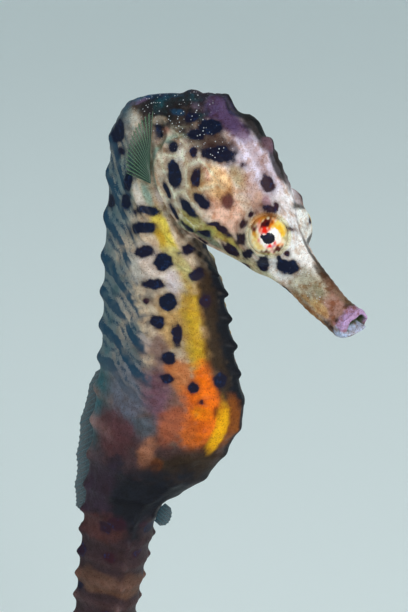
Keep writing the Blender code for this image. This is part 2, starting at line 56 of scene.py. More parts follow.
# %% Stations
STATIONS = {
    "lips":        ((43.7, 38.8), (43.1, 36.9), 1.60, 2.0),
    "jaw angle":   ((42.3, 40.1), (39.8, 35.2), 2.30, 2.0),
    "snout tip":   ((40.6, 41.2), (37.4, 36.6), 2.25, 2.0),
    "mid snout":   ((38.6, 43.2), (34.5, 38.5), 2.30, 2.0),
    "snout root":  ((36.0, 45.9), (31.6, 41.0), 2.50, 2.1),
    "nostril":     ((33.6, 49.0), (28.2, 43.2), 3.20, 2.2),
    "eye":         ((31.8, 53.4), (24.2, 44.9), 4.30, 2.3),
    "brow":        ((29.9, 58.2), (20.8, 46.2), 5.00, 2.3),
    "forehead":    ((27.1, 63.5), (17.8, 47.2), 5.40, 2.3),
    "temple":      ((23.9, 67.4), (16.0, 47.8), 5.80, 2.2),
    "crown":       ((19.6, 69.6), (14.8, 48.3), 5.90, 2.1),
    "nape":        ((14.4, 71.0), (13.9, 48.3), 5.50, 2.0),
    "neck top":    ((8.2, 71.0), (13.8, 47.9), 5.10, 2.0),
    "neck bend":   ((1.6, 68.6), (14.4, 47.1), 5.00, 2.0),
    "neck back":   ((-0.7, 62.0), (15.4, 45.8), 5.20, 2.0),
    "shoulder":    ((-1.1, 54.6), (16.6, 43.9), 5.60, 2.0),
    "breast":      ((-1.7, 47.4), (18.1, 41.2), 6.00, 2.0),
    "upper trunk": ((-2.0, 40.6), (18.9, 36.9), 6.40, 2.0),
    "mid trunk":   ((-2.3, 33.8), (20.0, 31.6), 6.80, 2.0),
    "belly":       ((-2.8, 27.0), (21.2, 25.8), 7.20, 2.0),
    "pot":         ((-3.8, 20.4), (22.2, 19.9), 7.40, 2.0),
    "lower pot":   ((-4.6, 14.0), (19.9, 14.3), 7.00, 2.0),
    "hip":         ((-5.4, 7.4), (14.0, 6.9), 6.20, 2.1),
    "vent":        ((-6.2, 0.6), (5.8, -0.3), 5.10, 2.3),
}
LIP_LEAD = 2.35  # the lips reach this far ahead of place 0, the corners of the mouth
print("stations:", len(STATIONS), "from", list(STATIONS)[0], "to", list(STATIONS)[-1])

# %% [markdown]
# ## Curves for shaping
# Living forms swell and fade without corners.  A few small curves do nearly all the shaping
# here: an ease between two levels, a window that opens and closes, a bell, and a smooth line
# through given points, as a ship's designer bends a lath round pins.


# %% Smooth curves
def smooth(low, high, x):
    """Ease from 0 at low to 1 at high, flat at both ends; it runs backwards if low > high."""
    t = np.clip((x - low) / (high - low), 0.0, 1.0)
    return t * t * (3.0 - 2.0 * t)


def window(x, rise, full, fade, end):
    """1 from full to fade, easing to 0 at rise on one side and at end on the other."""
    return smooth(rise, full, x) * smooth(end, fade, x)


def bell(offset, width):
    """1 at an offset of 0, falling off as a bell curve on both sides."""
    return np.exp(-(offset / width) ** 2)


def between(ends, share):
    """Value at a share of the way from the first end to the second."""
    return ends[0] + (ends[1] - ends[0]) * share


def unit(way):
    """The same direction with a length of 1."""
    return way / np.linalg.norm(way, axis=-1, keepdims=True)


def circle(count):
    """Even angles round a full turn."""
    return np.arange(count) * 2 * math.pi / count


def grid(rows, columns):
    """Row value and column value of every point of a grid, row after row."""
    r, c = np.meshgrid(rows, columns, indexing="ij")
    return r.ravel(), c.ravel()


def natural_cubic(knots, values):
    """Smooth curve through rows of values: pieces of third degree, no bend at the ends."""
    count, step = len(knots), np.diff(knots)
    matrix, right = np.eye(count), np.zeros_like(values)
    for i in range(1, count - 1):
        matrix[i, i - 1:i + 2] = step[i - 1], 2 * (step[i - 1] + step[i]), step[i]
        right[i] = 6 * ((values[i + 1] - values[i]) / step[i]
                        - (values[i] - values[i - 1]) / step[i - 1])
    bend = np.linalg.solve(matrix, right)

    def at(place):
        """Values of the curve at places between the first knot and the last."""
        i = np.clip(np.searchsorted(knots, place) - 1, 0, count - 2)
        a = ((knots[i + 1] - place) / step[i])[:, None]
        b, h = 1.0 - a, step[i][:, None] ** 2 / 6
        return (a * values[i] + b * values[i + 1]
                + ((a ** 3 - a) * bend[i] + (b ** 3 - b) * bend[i + 1]) * h)

    return at


print("half way through an ease from 0 to 1:", smooth(0.0, 1.0, 0.5))

# %% [markdown]
# ## The coiled tail
# A seahorse holds on with its tail, and at rest rolls it forward into a spiral.  The bend at
# each step is one over the coil's radius there, which shrinks evenly towards the tip.  Walking
# step by step along that bend gives the tail's middle line, so no point has to be guessed.

# %% Tail and body curve
TAIL_LENGTH, TAIL_HEADING = 132.0, math.radians(-101.0)
TAIL_SWAY, SWAY_LENGTH = 0.0035, 30.0
COIL_START, COIL_FULL, COIL_OUTER, COIL_INNER = 34.0, 58.0, 15.5, 2.7
TAIL_DEPTH, TAIL_WIDTH, TAIL_TAPER, TAIL_SQUARENESS = (5.75, 0.75), (5.05, 0.70), 0.88, 2.6


def tail_rows(start, count=60):
    """Tail stations: heading is the running sum of the bend, place the sum of headings."""
    s = np.linspace(0.0, TAIL_LENGTH, 2001)
    shrink = (COIL_OUTER - COIL_INNER) / (TAIL_LENGTH - COIL_START)
    bend = smooth(COIL_START, COIL_FULL, s) / (COIL_OUTER - shrink * (s - COIL_START))
    bend += TAIL_SWAY * np.sin(np.pi * np.clip(s / SWAY_LENGTH, 0.0, 1.0))
    turn = np.concatenate([[0.0], np.cumsum((bend[1:] + bend[:-1]) / 2 * np.diff(s))])
    way = np.stack([np.cos(TAIL_HEADING + turn), np.sin(TAIL_HEADING + turn)], 1)
    walk = np.cumsum((way[1:] + way[:-1]) / 2 * np.diff(s)[:, None], axis=0)
    middle = np.vstack([[0.0, 0.0], walk]) + start
    back = np.stack([way[:, 1], -way[:, 0]], 1)
    taper = (s / TAIL_LENGTH) ** TAIL_TAPER
    deep = back * between(TAIL_DEPTH, taper)[:, None]
    rows = np.column_stack([middle + deep, middle - deep, between(TAIL_WIDTH, taper),
                            np.full(len(s), TAIL_SQUARENESS)])
    return rows[np.linspace(0, len(s) - 1, count).astype(int)][1:]


def body_curve():
    """Join head, trunk and tail stations; the knots are mean chord lengths."""
    rows = np.array([[*back, *belly, wide, square]
                     for back, belly, wide, square in STATIONS.values()])
    rows = np.vstack([rows, tail_rows((rows[-1, 0:2] + rows[-1, 2:4]) / 2)])
    back_step = np.linalg.norm(np.diff(rows[:, 0:2], axis=0), axis=1)
    belly_step = np.linalg.norm(np.diff(rows[:, 2:4], axis=0), axis=1)
    along = np.concatenate([[0.0], np.cumsum((back_step + belly_step) / 2)]) - LIP_LEAD
    return natural_cubic(along, rows), dict(zip(STATIONS, along)), along[-1]


BODY, PLACE, BODY_END = body_curve()
VENT_PLACE = PLACE["vent"]
print("body length along the curve:", round(BODY_END, 1), "mm; vent at", round(VENT_PLACE, 1))

# %% [markdown]
# ## The surface of the tube
# Every later form is a height on this surface, so it has to say two things for any place along
# the body and any angle round it: where the point is and which way is outwards.  The section
# is a rounded square, between an oval and a box, because a tail is nearly square.


# %% Tube surface
def section(place, around):
    """Tube surface: centre plus half depth times cosine and width times sine, squared off
    by a power; the outward way is the gradient of the same rounded square."""
    row = BODY(place)
    back, belly, wide, square = row[:, 0:2], row[:, 2:4], row[:, 4], row[:, 5]
    middle, half = (back + belly) / 2, (back - belly) / 2
    deep = np.linalg.norm(half, axis=1)
    c, s = np.cos(around), np.sin(around)
    cz, sy = (np.sign(t) * np.abs(t) ** (2 / square) for t in (c, s))
    point = np.stack([middle[:, 0] + half[:, 0] * cz, wide * sy,
                      middle[:, 1] + half[:, 1] * cz], 1)
    lift, side = (np.sign(t) * np.abs(t) ** (2 - 2 / square) / size
                  for t, size in ((c, deep), (s, wide)))
    out = np.stack([half[:, 0] / deep * lift, side, half[:, 1] / deep * lift], 1)
    return point, unit(out)


def degrees_round(around):
    """Degrees from the back line, 0 on the back and 180 on the belly, on either side."""
    return np.abs(np.degrees(np.arctan2(np.sin(around), np.cos(around))))


print("belly point at the vent:", section(np.array([VENT_PLACE]), np.array([math.pi]))[0].round(1))

# %% [markdown]
# ## Bony rings, ridges and knobs
# Under the skin a seahorse wears rings of bone.  Each ring line stands up a little, long
# ridges cross it, and a blunt knob rises where they meet.  One height function adds all three,
# so the rings follow the body's slant without any modelling by hand.

# %% Ring relief
TRUNK_RINGS, TRUNK_FIRST, TAIL_RINGS, TAIL_RING_FIRST = 12, 45.0, 46, 4.2
RING_SLANT, RING_HEIGHT, RIDGE_HEIGHT, KNOB_HEIGHT = 5.0, 0.32, 0.28, 0.52
UPPER_RIDGE, LOWER_RIDGE, RIDGE_WIDTH, KEEL_SHARE = (30.0, 45.0), 135.0, 8.0, 1.6
CREST_WIDTH, TIP_LOSS, SLANT_SPAN = 0.2, 0.85, (38.0, 58.0, 88.0, 106.0)
TRUNK_PITCH = (VENT_PLACE - TRUNK_FIRST) / TRUNK_RINGS
TAIL_RING_LAST = 2 * (BODY_END - VENT_PLACE) / TAIL_RINGS - TAIL_RING_FIRST
TAIL_RING_LOSS = (TAIL_RING_FIRST - TAIL_RING_LAST) / (2 * TAIL_RINGS)


def ring_number(place):
    """Rings passed since the vent: an even pitch on the trunk, a shrinking one on the tail."""
    trunk = (place - VENT_PLACE) / TRUNK_PITCH
    rest = np.clip(TAIL_RING_FIRST ** 2 - 4 * TAIL_RING_LOSS * (place - VENT_PLACE), 0.0, None)
    tail = (TAIL_RING_FIRST - np.sqrt(rest)) / (2 * TAIL_RING_LOSS)
    return np.where(place < VENT_PLACE, trunk, tail)


def ring_crest(place):
    """1 on each ring line, falling off as a bell curve on both sides of it."""
    number = ring_number(place)
    return bell(number - np.round(number), CREST_WIDTH)


def ridge_line(place, around):
    """1 on the long ridges of the body, a bell curve across each of them."""
    turn = degrees_round(around)
    on_tail = smooth(VENT_PLACE - 12.0, VENT_PLACE + 6.0, place)
    upper = between(UPPER_RIDGE, on_tail)
    keel = KEEL_SHARE * (1.0 - on_tail) * (1.0 - 0.75 * smooth(72.0, 82.0, place))
    lines = ((upper, 1.0), (90.0, 1.0 - on_tail), (LOWER_RIDGE, 1.0), (180.0, keel))
    return np.max([share * bell(turn - angle, RIDGE_WIDTH) for angle, share in lines], axis=0)


def armour(place, around):
    """How strongly rings show: not on the head or throat, less towards the tail tip."""
    size = 1.0 - TIP_LOSS * np.clip((place - VENT_PLACE) / (BODY_END - VENT_PLACE), 0, 1)
    below = np.clip(-np.cos(around), 0.0, 1.0)
    throat = below * (1.0 - smooth(TRUNK_FIRST + 2.0, TRUNK_FIRST + 14.0, place))
    return smooth(TRUNK_FIRST - 4.0, TRUNK_FIRST + 4.0, place) * (1.0 - throat) * size


def relief(place, around):
    """Ring height plus ridge height plus a knob where a ring and a ridge cross."""
    crest, ridge = ring_crest(place), ridge_line(place, around)
    return armour(place, around) * (RING_HEIGHT * crest + RIDGE_HEIGHT * ridge
                                    + KNOB_HEIGHT * crest * ridge)


print("trunk ring pitch:", round(TRUNK_PITCH, 2), "mm, last tail ring",
      round(TAIL_RING_LAST, 2), "mm")

# %% [markdown]
# ## Eye turrets
# A seahorse's eyes turn in little turrets, each by itself.  The skin near an eye is drawn up
# along the way the eye looks to a flat rim, and down again into the socket.  Moving the skin
# and not adding a cup keeps the surface whole.

# %% Eye turrets
EYE, EYE_RADIUS = np.array((28.9, 4.2, 51.1)), 3.3
EYE_FORWARD, EYE_UP = math.radians(28.0), math.radians(11.0)
RIM_RISE, RIM_RADIUS, TURRET_RADIUS, TURRET_ROOT = 1.45, 3.2, 5.2, -4.0
SOCKET_EDGE, SOCKET_FLOOR, SOCKET_DEPTH = 3.15, 2.55, 0.9
LID_RISE, LID_RADIUS, LID_WIDTH = 0.16, 3.35, 0.3


def eye_axes(side):
    """Directions of one eye: the way it looks, towards the snout, and up."""
    flat = math.cos(EYE_UP)
    look = np.array((flat * math.sin(EYE_FORWARD), side * flat * math.cos(EYE_FORWARD),
                     math.sin(EYE_UP)))
    level = unit(np.cross((0.0, 0.0, 1.0), look))
    return look, level * -side, np.cross(look, level)


def eye_view(point, side):
    """Offsets from one eye: towards the snout, upwards, and out along its axis."""
    away = point - EYE * (1, side, 1)
    look, ahead, up = eye_axes(side)
    return away @ ahead, away @ up, away @ look


def raise_turret(point, side):
    """Draw the skin near an eye up to a flat rim, then down into the socket behind it."""
    ahead, above, height = eye_view(point, side)
    radius = np.hypot(ahead, above)
    blend = smooth(TURRET_RADIUS, RIM_RADIUS, radius) * (height > TURRET_ROOT)
    hollow = SOCKET_DEPTH * smooth(SOCKET_EDGE, SOCKET_FLOOR, radius)
    lid = LID_RISE * bell(radius - LID_RADIUS, LID_WIDTH)
    move = (RIM_RISE - hollow + lid - height) * blend
    return point + move[:, None] * eye_axes(side)[0]


print("eye rim", RIM_RISE, "mm over the eye's centre, lid", LID_RISE, "mm higher")

# %% [markdown]
# ## Spines, knobs and the coronet
# A blunt spine stands over each eye, low knobs mark the corners of the skull, and the head
# ends in a bony crown that differs from one seahorse to the next.  They are pushed out of the
# same skin, along the way it faces at each one's foot, where clay would be added and smoothed.

# %% Knobs and coronet
HEAD_KNOBS = {  # name: ring place, degrees, radius, height, on both sides
    "brow spine": (27.7, 0.0, 1.2, 1.2, False),
    "eye spine": (21.6, 47.0, 1.5, 1.3, True),
    "crest knob": (31.0, 13.0, 1.9, 0.65, False),
    "nape knob": (37.3, 0.0, 1.7, 0.9, False),
    "temple knob": (30.5, 62.0, 2.4, 0.5, True),
    "cheek knob": (32.0, 81.0, 0.9, 0.5, True),
    "shoulder knob": (46.4, 132.0, 1.2, 0.9, True),
    "chin knob": (17.0, 180.0, 2.0, 0.5, False),
}
KNOB_REACH = 4.0
CORONET_PLACE, CORONET_HEIGHT, CORONET_RADIUS, CORONET_POINTS = 34.9, 1.35, 1.95, 5
CORONET_LEAN, CORONET_LENGTH, CORONET_DISH = math.radians(8.0), 1.08, 0.35
CORONET_CORNER, CORONET_WAVE, CORONET_SPAN = 0.10, 0.10, 6.0


def one(place, degrees):
    """Foot point and outward way at a single place on the plain tube."""
    foot, out = section(np.array([float(place)]), np.array([math.radians(degrees)]))
    return foot[0], out[0]


def raise_knob(point, ring, at, degrees, radius, height):
    """Push the skin out by a flat-topped bell round one place on the body."""
    foot, axis = one(at, degrees)
    away = point - foot
    along = away @ axis
    reach = np.linalg.norm(away - along[:, None] * axis, axis=1)
    near = (np.abs(along) < KNOB_REACH) & (np.abs(ring - at) < 3 * radius)
    return point + (height * np.exp(-(reach / radius) ** 3) * near)[:, None] * axis


def crown_axes():
    """Foot, leaning axis, tailward and sideways directions of the coronet."""
    foot, out = one(CORONET_PLACE, 0.0)
    way = one(CORONET_PLACE + 0.5, 0.0)[0] - one(CORONET_PLACE - 0.5, 0.0)[0]
    way = unit(way - out * (way @ out))
    lean, level = math.sin(CORONET_LEAN), math.cos(CORONET_LEAN)
    return foot, out * level + way * lean, way * level - out * lean, np.cross(out, way)


def raise_crown(point, ring, around):
    """Lift the crown of the head into a low five-cornered mound with a dished top."""
    foot, out, way, side = crown_axes()
    away = point - foot
    height, u, v = away @ out, away @ way / CORONET_LENGTH, away @ side
    turn = np.arctan2(v, u)
    share = np.hypot(u, v) / (CORONET_RADIUS * (1 + CORONET_CORNER * np.cos(CORONET_POINTS * turn)))
    top = CORONET_HEIGHT - CORONET_DISH * smooth(0.75, 0.1, share)
    top += CORONET_WAVE * np.cos(3 * turn + 0.6)
    near = (np.abs(ring - CORONET_PLACE) < CORONET_SPAN) & (np.cos(around) > 0)
    blend = smooth(1.40, 0.68, share) * near
    return point + ((top - height) * blend)[:, None] * out


def body_skin(ring, around, lift=0.0):
    """The finished body: slanted rings on the tube, then turrets, knobs and crown."""
    climb = ((1.0 + np.cos(around)) / 2) ** 1.5
    span = window(ring, *SLANT_SPAN)
    point, out = section(np.clip(ring - RING_SLANT * span * climb, -LIP_LEAD, BODY_END), around)
    point = point + out * (relief(ring, around) + lift)[:, None]
    for side in (1, -1):
        point = raise_turret(point, side)
    for at, degrees, radius, height, both in HEAD_KNOBS.values():
        for angle in (degrees, -degrees)[:1 + both]:
            point = raise_knob(point, ring, at, angle, radius, height)
    return raise_crown(point, ring, around)


print("kinds of knob:", len(HEAD_KNOBS), "and a crown", CORONET_HEIGHT, "mm high")

# %% [markdown]
# ## Fine forms of the head
# The gill cover is a thin curved plate with rays, a small round pore opens above its rear
# corner, and two pin-prick nostrils lie in front of each eye.  They are heights added to the
# plain skin, so each one is a few words of arithmetic on place and angle.

# %% Head detail
GILL_MIDDLE, GILL_HALF, GILL_RISE, GILL_BULGE = (35.0, 100.0), (7.4, 42.0), 0.85, 0.35
GILL_EDGE, GILL_EDGE_WIDTH, GILL_EDGE_RISE = 0.93, 0.05, 0.12
RAY_HUB, DEGREES_PER_MM, GILL_RAYS, GILL_RAY_RISE = (30.5, 84.0), 6.0, 24.0, 0.07
PORE, PORE_DEPTH, PORE_LIP = (39.9, 62.0, 0.75, 13.5), 0.9, 0.18
NOSTRILS, NOSTRIL_DEPTH = ((17.6, 34.0, 0.34), (16.5, 31.0, 0.28)), 0.32


def gill_share(ring, around):
    """Distance from the middle of the gill cover, 1 at its rim, and the way it lies."""
    a = (ring - GILL_MIDDLE[0]) / GILL_HALF[0]
    b = (degrees_round(around) - GILL_MIDDLE[1]) / GILL_HALF[1]
    return np.hypot(a, b), np.arctan2(b, a)


def gill_lift(ring, around):
    """Plate with a steep rim and a low dome, scored by rays that fan out to the rear."""
    share, way = gill_share(ring, around)
    fan = np.arctan2((degrees_round(around) - RAY_HUB[1]) / DEGREES_PER_MM, ring - RAY_HUB[0])
    rays = np.cos(fan * GILL_RAYS) * smooth(0.25, 0.6, share) * smooth(1.9, 0.6, np.abs(way))
    rim = GILL_EDGE_RISE * bell(share - GILL_EDGE, GILL_EDGE_WIDTH)
    dome = GILL_RISE + GILL_BULGE * (1 - np.clip(share, 0, 1) ** 2)
    return smooth(1.06, 0.90, share) * (dome + GILL_RAY_RISE * rays + rim)


def pore_lift(ring, around):
    """Oval pit of the gill opening with a soft lip round it."""
    at, degrees, length, width = PORE
    share = np.hypot((ring - at) / length, (degrees_round(around) - degrees) / width)
    return PORE_LIP * bell(share - 1.35, 0.25) - PORE_DEPTH * smooth(1.1, 0.5, share)


def nostril_lift(ring, around):
    """Two pin-prick pits on each side in front of the eye."""
    turn = degrees_round(around)
    return -NOSTRIL_DEPTH * sum(bell(ring - at, size) * bell(turn - degrees, 16 * size)
                                for at, degrees, size in NOSTRILS)


def skin_lift(ring, around):
    """All heights that lie on the plain tube: gill cover, pore and nostrils."""
    return gill_lift(ring, around) + pore_lift(ring, around) + nostril_lift(ring, around)


print("gill cover", 2 * GILL_HALF[0], "mm long, raised", GILL_RISE, "mm")

# %% [markdown]
# ## The mouth
# A seahorse sucks its food through a tube, and the small jaws at its end part along a line
# that runs back from the tip on both sides.  The skin's first rows follow that slanting
# line, roll over the lips and run on inside as the mouth's lining.

# %% Mouth rows
HINGE, CORNER, CORNER_WIDTH, CORNER_DEPTH = 3.4, 96.0, 38.0, 1.5
GAPE, UPPER_SET_BACK, MOUTH_LEAN = 0.85, 1.75, 0.85
LIP_CURL, CURL_PLACE, CURL_WIDTH, LINING_DEPTH = 0.10, 0.7, 0.6, 3.0
UPPER_WIDTH, PARTING_WIDTH, PARTING_WAY = 62.0, CORNER_WIDTH * 1.35, np.array((0.35, 0.0, 0.94))
RIM_POINTS, ROLL_END, LIP_ROLL, LIP_BULGE, THROAT_TAPER = 64, 0.35, 0.30, 0.28, 0.60


def lips_out(u, around):
    """Skin in front of the jaw hinge.  The lip edge lies further back at the corners, and
    the two lips part there by a small turn away from each other, more on the near side."""
    turn = degrees_round(around)
    ease = np.clip((HINGE - u) / (HINGE + LIP_LEAD), 0.0, 1.0)
    ring = u + (CORNER_DEPTH * bell(turn - CORNER, CORNER_WIDTH)
                + UPPER_SET_BACK * bell(turn, UPPER_WIDTH) - MOUTH_LEAN * np.sin(around)) * ease
    point = body_skin(ring, around)
    middle = (section(ring, np.zeros_like(ring))[0]
              + section(ring, np.full_like(ring, math.pi))[0]) / 2
    curl = LIP_CURL * bell(u + LIP_LEAD - CURL_PLACE, CURL_WIDTH)
    point = point + (point - middle) * curl[:, None]
    wide = bell(turn - CORNER, PARTING_WIDTH)
    away = np.where(turn < CORNER, 1.0, -0.5) * wide * ease ** 2 * (0.6 - 0.4 * np.sin(around))
    return point + (GAPE * away)[:, None] * PARTING_WAY


def mouth_rows(t, around):
    """Lip edge rolled inwards: towards the mouth's middle and back along the snout."""
    edge = lips_out(np.full_like(t, -LIP_LEAD), around)
    centre = lips_out(np.full(RIM_POINTS, -LIP_LEAD), circle(RIM_POINTS)).mean(axis=0)
    inward = unit((one(8.0, 0)[0] + one(8.0, 180)[0]) / 2 - centre)
    share = 1.0 - LIP_ROLL * smooth(0.0, ROLL_END, t) - THROAT_TAPER * smooth(0.75, 1.0, t)
    depth = LINING_DEPTH * np.clip((t - 0.2) / 0.8, 0, 1)
    depth -= LIP_BULGE * np.sin(np.pi * np.clip(t / ROLL_END, 0, 1))
    return centre + (edge - centre) * share[:, None] + inward * depth[:, None]


print("mouth lining reaches", LINING_DEPTH, "mm back from the lips")

# %% [markdown]
# ## One grid for the whole skin
# The skin is one closed mesh.  The head has the finest grid, the trunk half as many columns
# and the coil half again, joined by rows of triangles, which keeps the piece under 200,000
# triangles with the detail where the eye looks first.

# %% Build the grid
HEAD_COLUMNS, HEAD_END, TRUNK_END = 264, 48.0, 140.0
MOUTH_STEPS = np.linspace(1.0, 0.06, 12)
HEAD_ROWS = np.concatenate([np.linspace(-LIP_LEAD, HINGE, 28)[:-1],
                            np.linspace(HINGE, HEAD_END, 160)])
TRUNK_ROWS = np.linspace(HEAD_END, TRUNK_END, 276)[1:]
COIL_ROWS = np.linspace(TRUNK_END, BODY_END, 136)[1:]


def grid_faces(first, rows, columns):
    """Quads of a tube of rows that close round on themselves."""
    i, j = np.meshgrid(np.arange(rows - 1), np.arange(columns), indexing="ij")
    k = (j + 1) % columns
    quads = np.stack([i * columns + j, i * columns + k,
                      (i + 1) * columns + k, (i + 1) * columns + j], -1)
    return (first + quads).reshape(-1, 4)


def half_faces(first, columns):
    """Triangles between a row and the next row of half as many points."""
    j = np.arange(columns // 2)
    a, b, c = 2 * j, 2 * j + 1, (2 * j + 2) % columns
    p = columns + j
    q = columns + (j + 1) % (columns // 2)
    return first + np.concatenate([np.stack(t, 1) for t in ((a, b, p), (b, c, q), (b, q, p))])


def skin_grid():
    """Lists of row places and angles, with the faces that join them."""
    blocks = ((np.concatenate([-LIP_LEAD - MOUTH_STEPS, HEAD_ROWS]), HEAD_COLUMNS),
              (TRUNK_ROWS, HEAD_COLUMNS // 2), (COIL_ROWS, HEAD_COLUMNS // 4))
    place, around, quads, tris, first = [], [], [], [], 0
    for number, (rows, columns) in enumerate(blocks):
        r, a = grid(rows, circle(columns))
        place.append(r)
        around.append(a)
        quads.append(grid_faces(first, len(rows), columns))
        if number < 2:
            tris.append(half_faces(first + (len(rows) - 1) * columns, columns))
        first += len(rows) * columns
    return (np.concatenate(place), np.concatenate(around),
            np.concatenate(quads), np.concatenate(tris))


def skin_points(place, around):
    """Positions for all grid points: mouth lining, lips in front of the hinge, body."""
    point = np.empty((len(place), 3))
    inside = place < -LIP_LEAD - 1e-6
    front, rest = (place < HINGE) & ~inside, place >= HINGE
    point[inside] = mouth_rows(-LIP_LEAD - place[inside], around[inside])
    point[front] = lips_out(place[front], around[front])
    point[rest] = body_skin(place[rest], around[rest], skin_lift(place[rest], around[rest]))
    return point


ring, around, quads, tris = skin_grid()
turn = degrees_round(around)
side = np.where(np.sin(around) < 0, -1, 1)
skin = skin_points(ring, around)
print("skin grid:", len(skin), "points,", 2 * len(quads) + len(tris), "triangles")

# %% [markdown]
# ## Warts and wrinkles
# Old skin over bone is never smooth: it has small warts, rings on the snout and creases at
# the side of the neck.  They could be carved by hand.  Here each is a height along the skin's
# outward way, faded out round the eyes and lips, where the skin is drawn tight.

# %% Warts and wrinkles
WARTS, WART_SEED, EYE_FLOOR, OUT_OF_REACH = 260, 11, -3, 9


def mesh_normals(points):
    """Outward way at each point: the summed cross products of the quads' diagonals."""
    a, b, c, d = (points[quads[:, k]] for k in range(4))
    flat = np.cross(c - a, d - b)
    total = np.zeros_like(points)
    for k in range(4):
        for axis in range(3):
            total[:, axis] += np.bincount(quads[:, k], flat[:, axis], len(points))
    return total / np.maximum(np.linalg.norm(total, axis=1, keepdims=True), 1e-12)


def warts(points):
    """Small round bumps strewn on crown, nape, back and ridges, each a bell curve."""
    draw = np.random.default_rng(WART_SEED)
    height = np.zeros(len(points))
    at = np.concatenate([draw.uniform(22, 46, WARTS // 2), draw.uniform(46, 118, WARTS // 2)])
    where = np.radians(draw.normal(0, 55, WARTS))
    size, rise = draw.uniform(0.28, 0.65, WARTS), draw.uniform(0.06, 0.2, WARTS)
    for foot, radius, up in zip(body_skin(at, where), size, rise):
        near = np.flatnonzero(np.abs(points - foot).max(axis=1) < 3 * radius)
        height[near] += up * bell(np.linalg.norm(points[near] - foot, axis=1), radius)
    return height


def wrinkles(ring, around):
    """Low folds: rings on the snout, and slanting creases at the side of the neck."""
    snout = 0.035 * np.cos(ring * 5.2 + 1.5 * np.sin(around * 2)) * smooth(14, 9, ring)
    neck = 0.05 * np.cos(ring * 4.1 + 3.0 * np.cos(around)) * window(ring, 40, 44, 50, 56)
    return snout + neck * smooth(92, 70, degrees_round(around))


def eye_distance(point, side):
    """Distance from one eye's axis, made large for skin on the far side of the head."""
    ahead, above, height = eye_view(point, side)
    return np.hypot(ahead, above) + OUT_OF_REACH * (height < EYE_FLOOR)


outward = mesh_normals(skin)
if np.sum(outward * (skin - skin.mean(axis=0))) < 0:
    outward, quads, tris = -outward, quads[:, ::-1], tris[:, ::-1]
near_eye = np.minimum(eye_distance(skin, 1), eye_distance(skin, -1))
calm = smooth(3.6, 4.6, near_eye) * smooth(-0.5, 1.5, ring)
skin += outward * ((warts(skin) + wrinkles(ring, around)) * calm)[:, None]
print("warts and wrinkles added; skin reaches", skin.min(0).round(1), skin.max(0).round(1))

# %% [markdown]
# ## Where the paint goes
# A model painter lays soft washes of colour first and puts the sharp spots on top.  The same
# is done here, on the points of the skin, because a pattern that is stored with the skin
# follows it everywhere.  Each wash is an oval on the body with a colour and a strength.  Its
# edge wanders a little, by smooth waves that run through the whole body.


# %% Brushes
BROAD_WAVES, CLOSE_WAVES, BACK_WAVES = (4.5, 21), (1.5, 22), (2.6, 31)  # spacing (mm), seed


def paint(red, green, blue):
    """Turn a display colour of 0 to 255 into the renderer's linear colour."""
    c = np.array((red, green, blue)) / 255
    return np.where(c < 0.04045, c / 12.92, ((c + 0.055) / 1.055) ** 2.4)


def drift(points, size, seed, waves=12):
    """Smooth wandering value of about -1 to 1: sine waves in random directions, added up,
    with crests about `size` mm apart."""
    draw = np.random.default_rng(seed)
    ways = unit(draw.normal(0, 1, (waves, 3))) * 2 * math.pi / size
    ways *= draw.uniform(0.55, 1.6, (waves, 1))
    start = draw.uniform(0, 2 * math.pi, waves)
    return np.sin(points @ ways.T + start).sum(axis=1) * math.sqrt(2 / waves) * 0.7


def oval_weight(at, degrees, length, width):
    """1 inside an oval on the body, easing to 0 over its outer half, with a wandering edge."""
    reach = np.hypot((ring - at) / length, (turn - degrees) / width)
    return smooth(1.3, 0.6, reach + 0.15 * broad + 0.09 * close)


def cover(colour, *coats):
    """Lay coats of a tint and a weight one over another: old colour times what each coat
    leaves uncovered, plus the tint times its weight."""
    for tint, weight in coats:
        weight = np.clip(weight, 0, 1)[:, None]
        colour = colour * (1 - weight) + paint(*tint) * weight
    return colour


def lay_washes(colour, washes, share=1.0):
    """Cover the colour by a list of ovals in their order."""
    return cover(colour, *((tint, strength * share * oval_weight(at, degrees, length, width))
                           for _, tint, at, degrees, length, width, strength in washes))


broad, close = drift(skin, *BROAD_WAVES), drift(skin, *CLOSE_WAVES)
print("edges wander by up to", round(float(np.abs(0.15 * broad + 0.09 * close).max()), 2))

# %% [markdown]
# ## Ground colours and head
# The first washes are wide: cream for the head, tan for the trunk and brown for the tail.
# The head then gets its lilac forehead, rosy and ochre cheek, yellow jaw, dark crown and
# olive snout.  Light comes before dark, as with glazes, because later coats cover earlier ones.

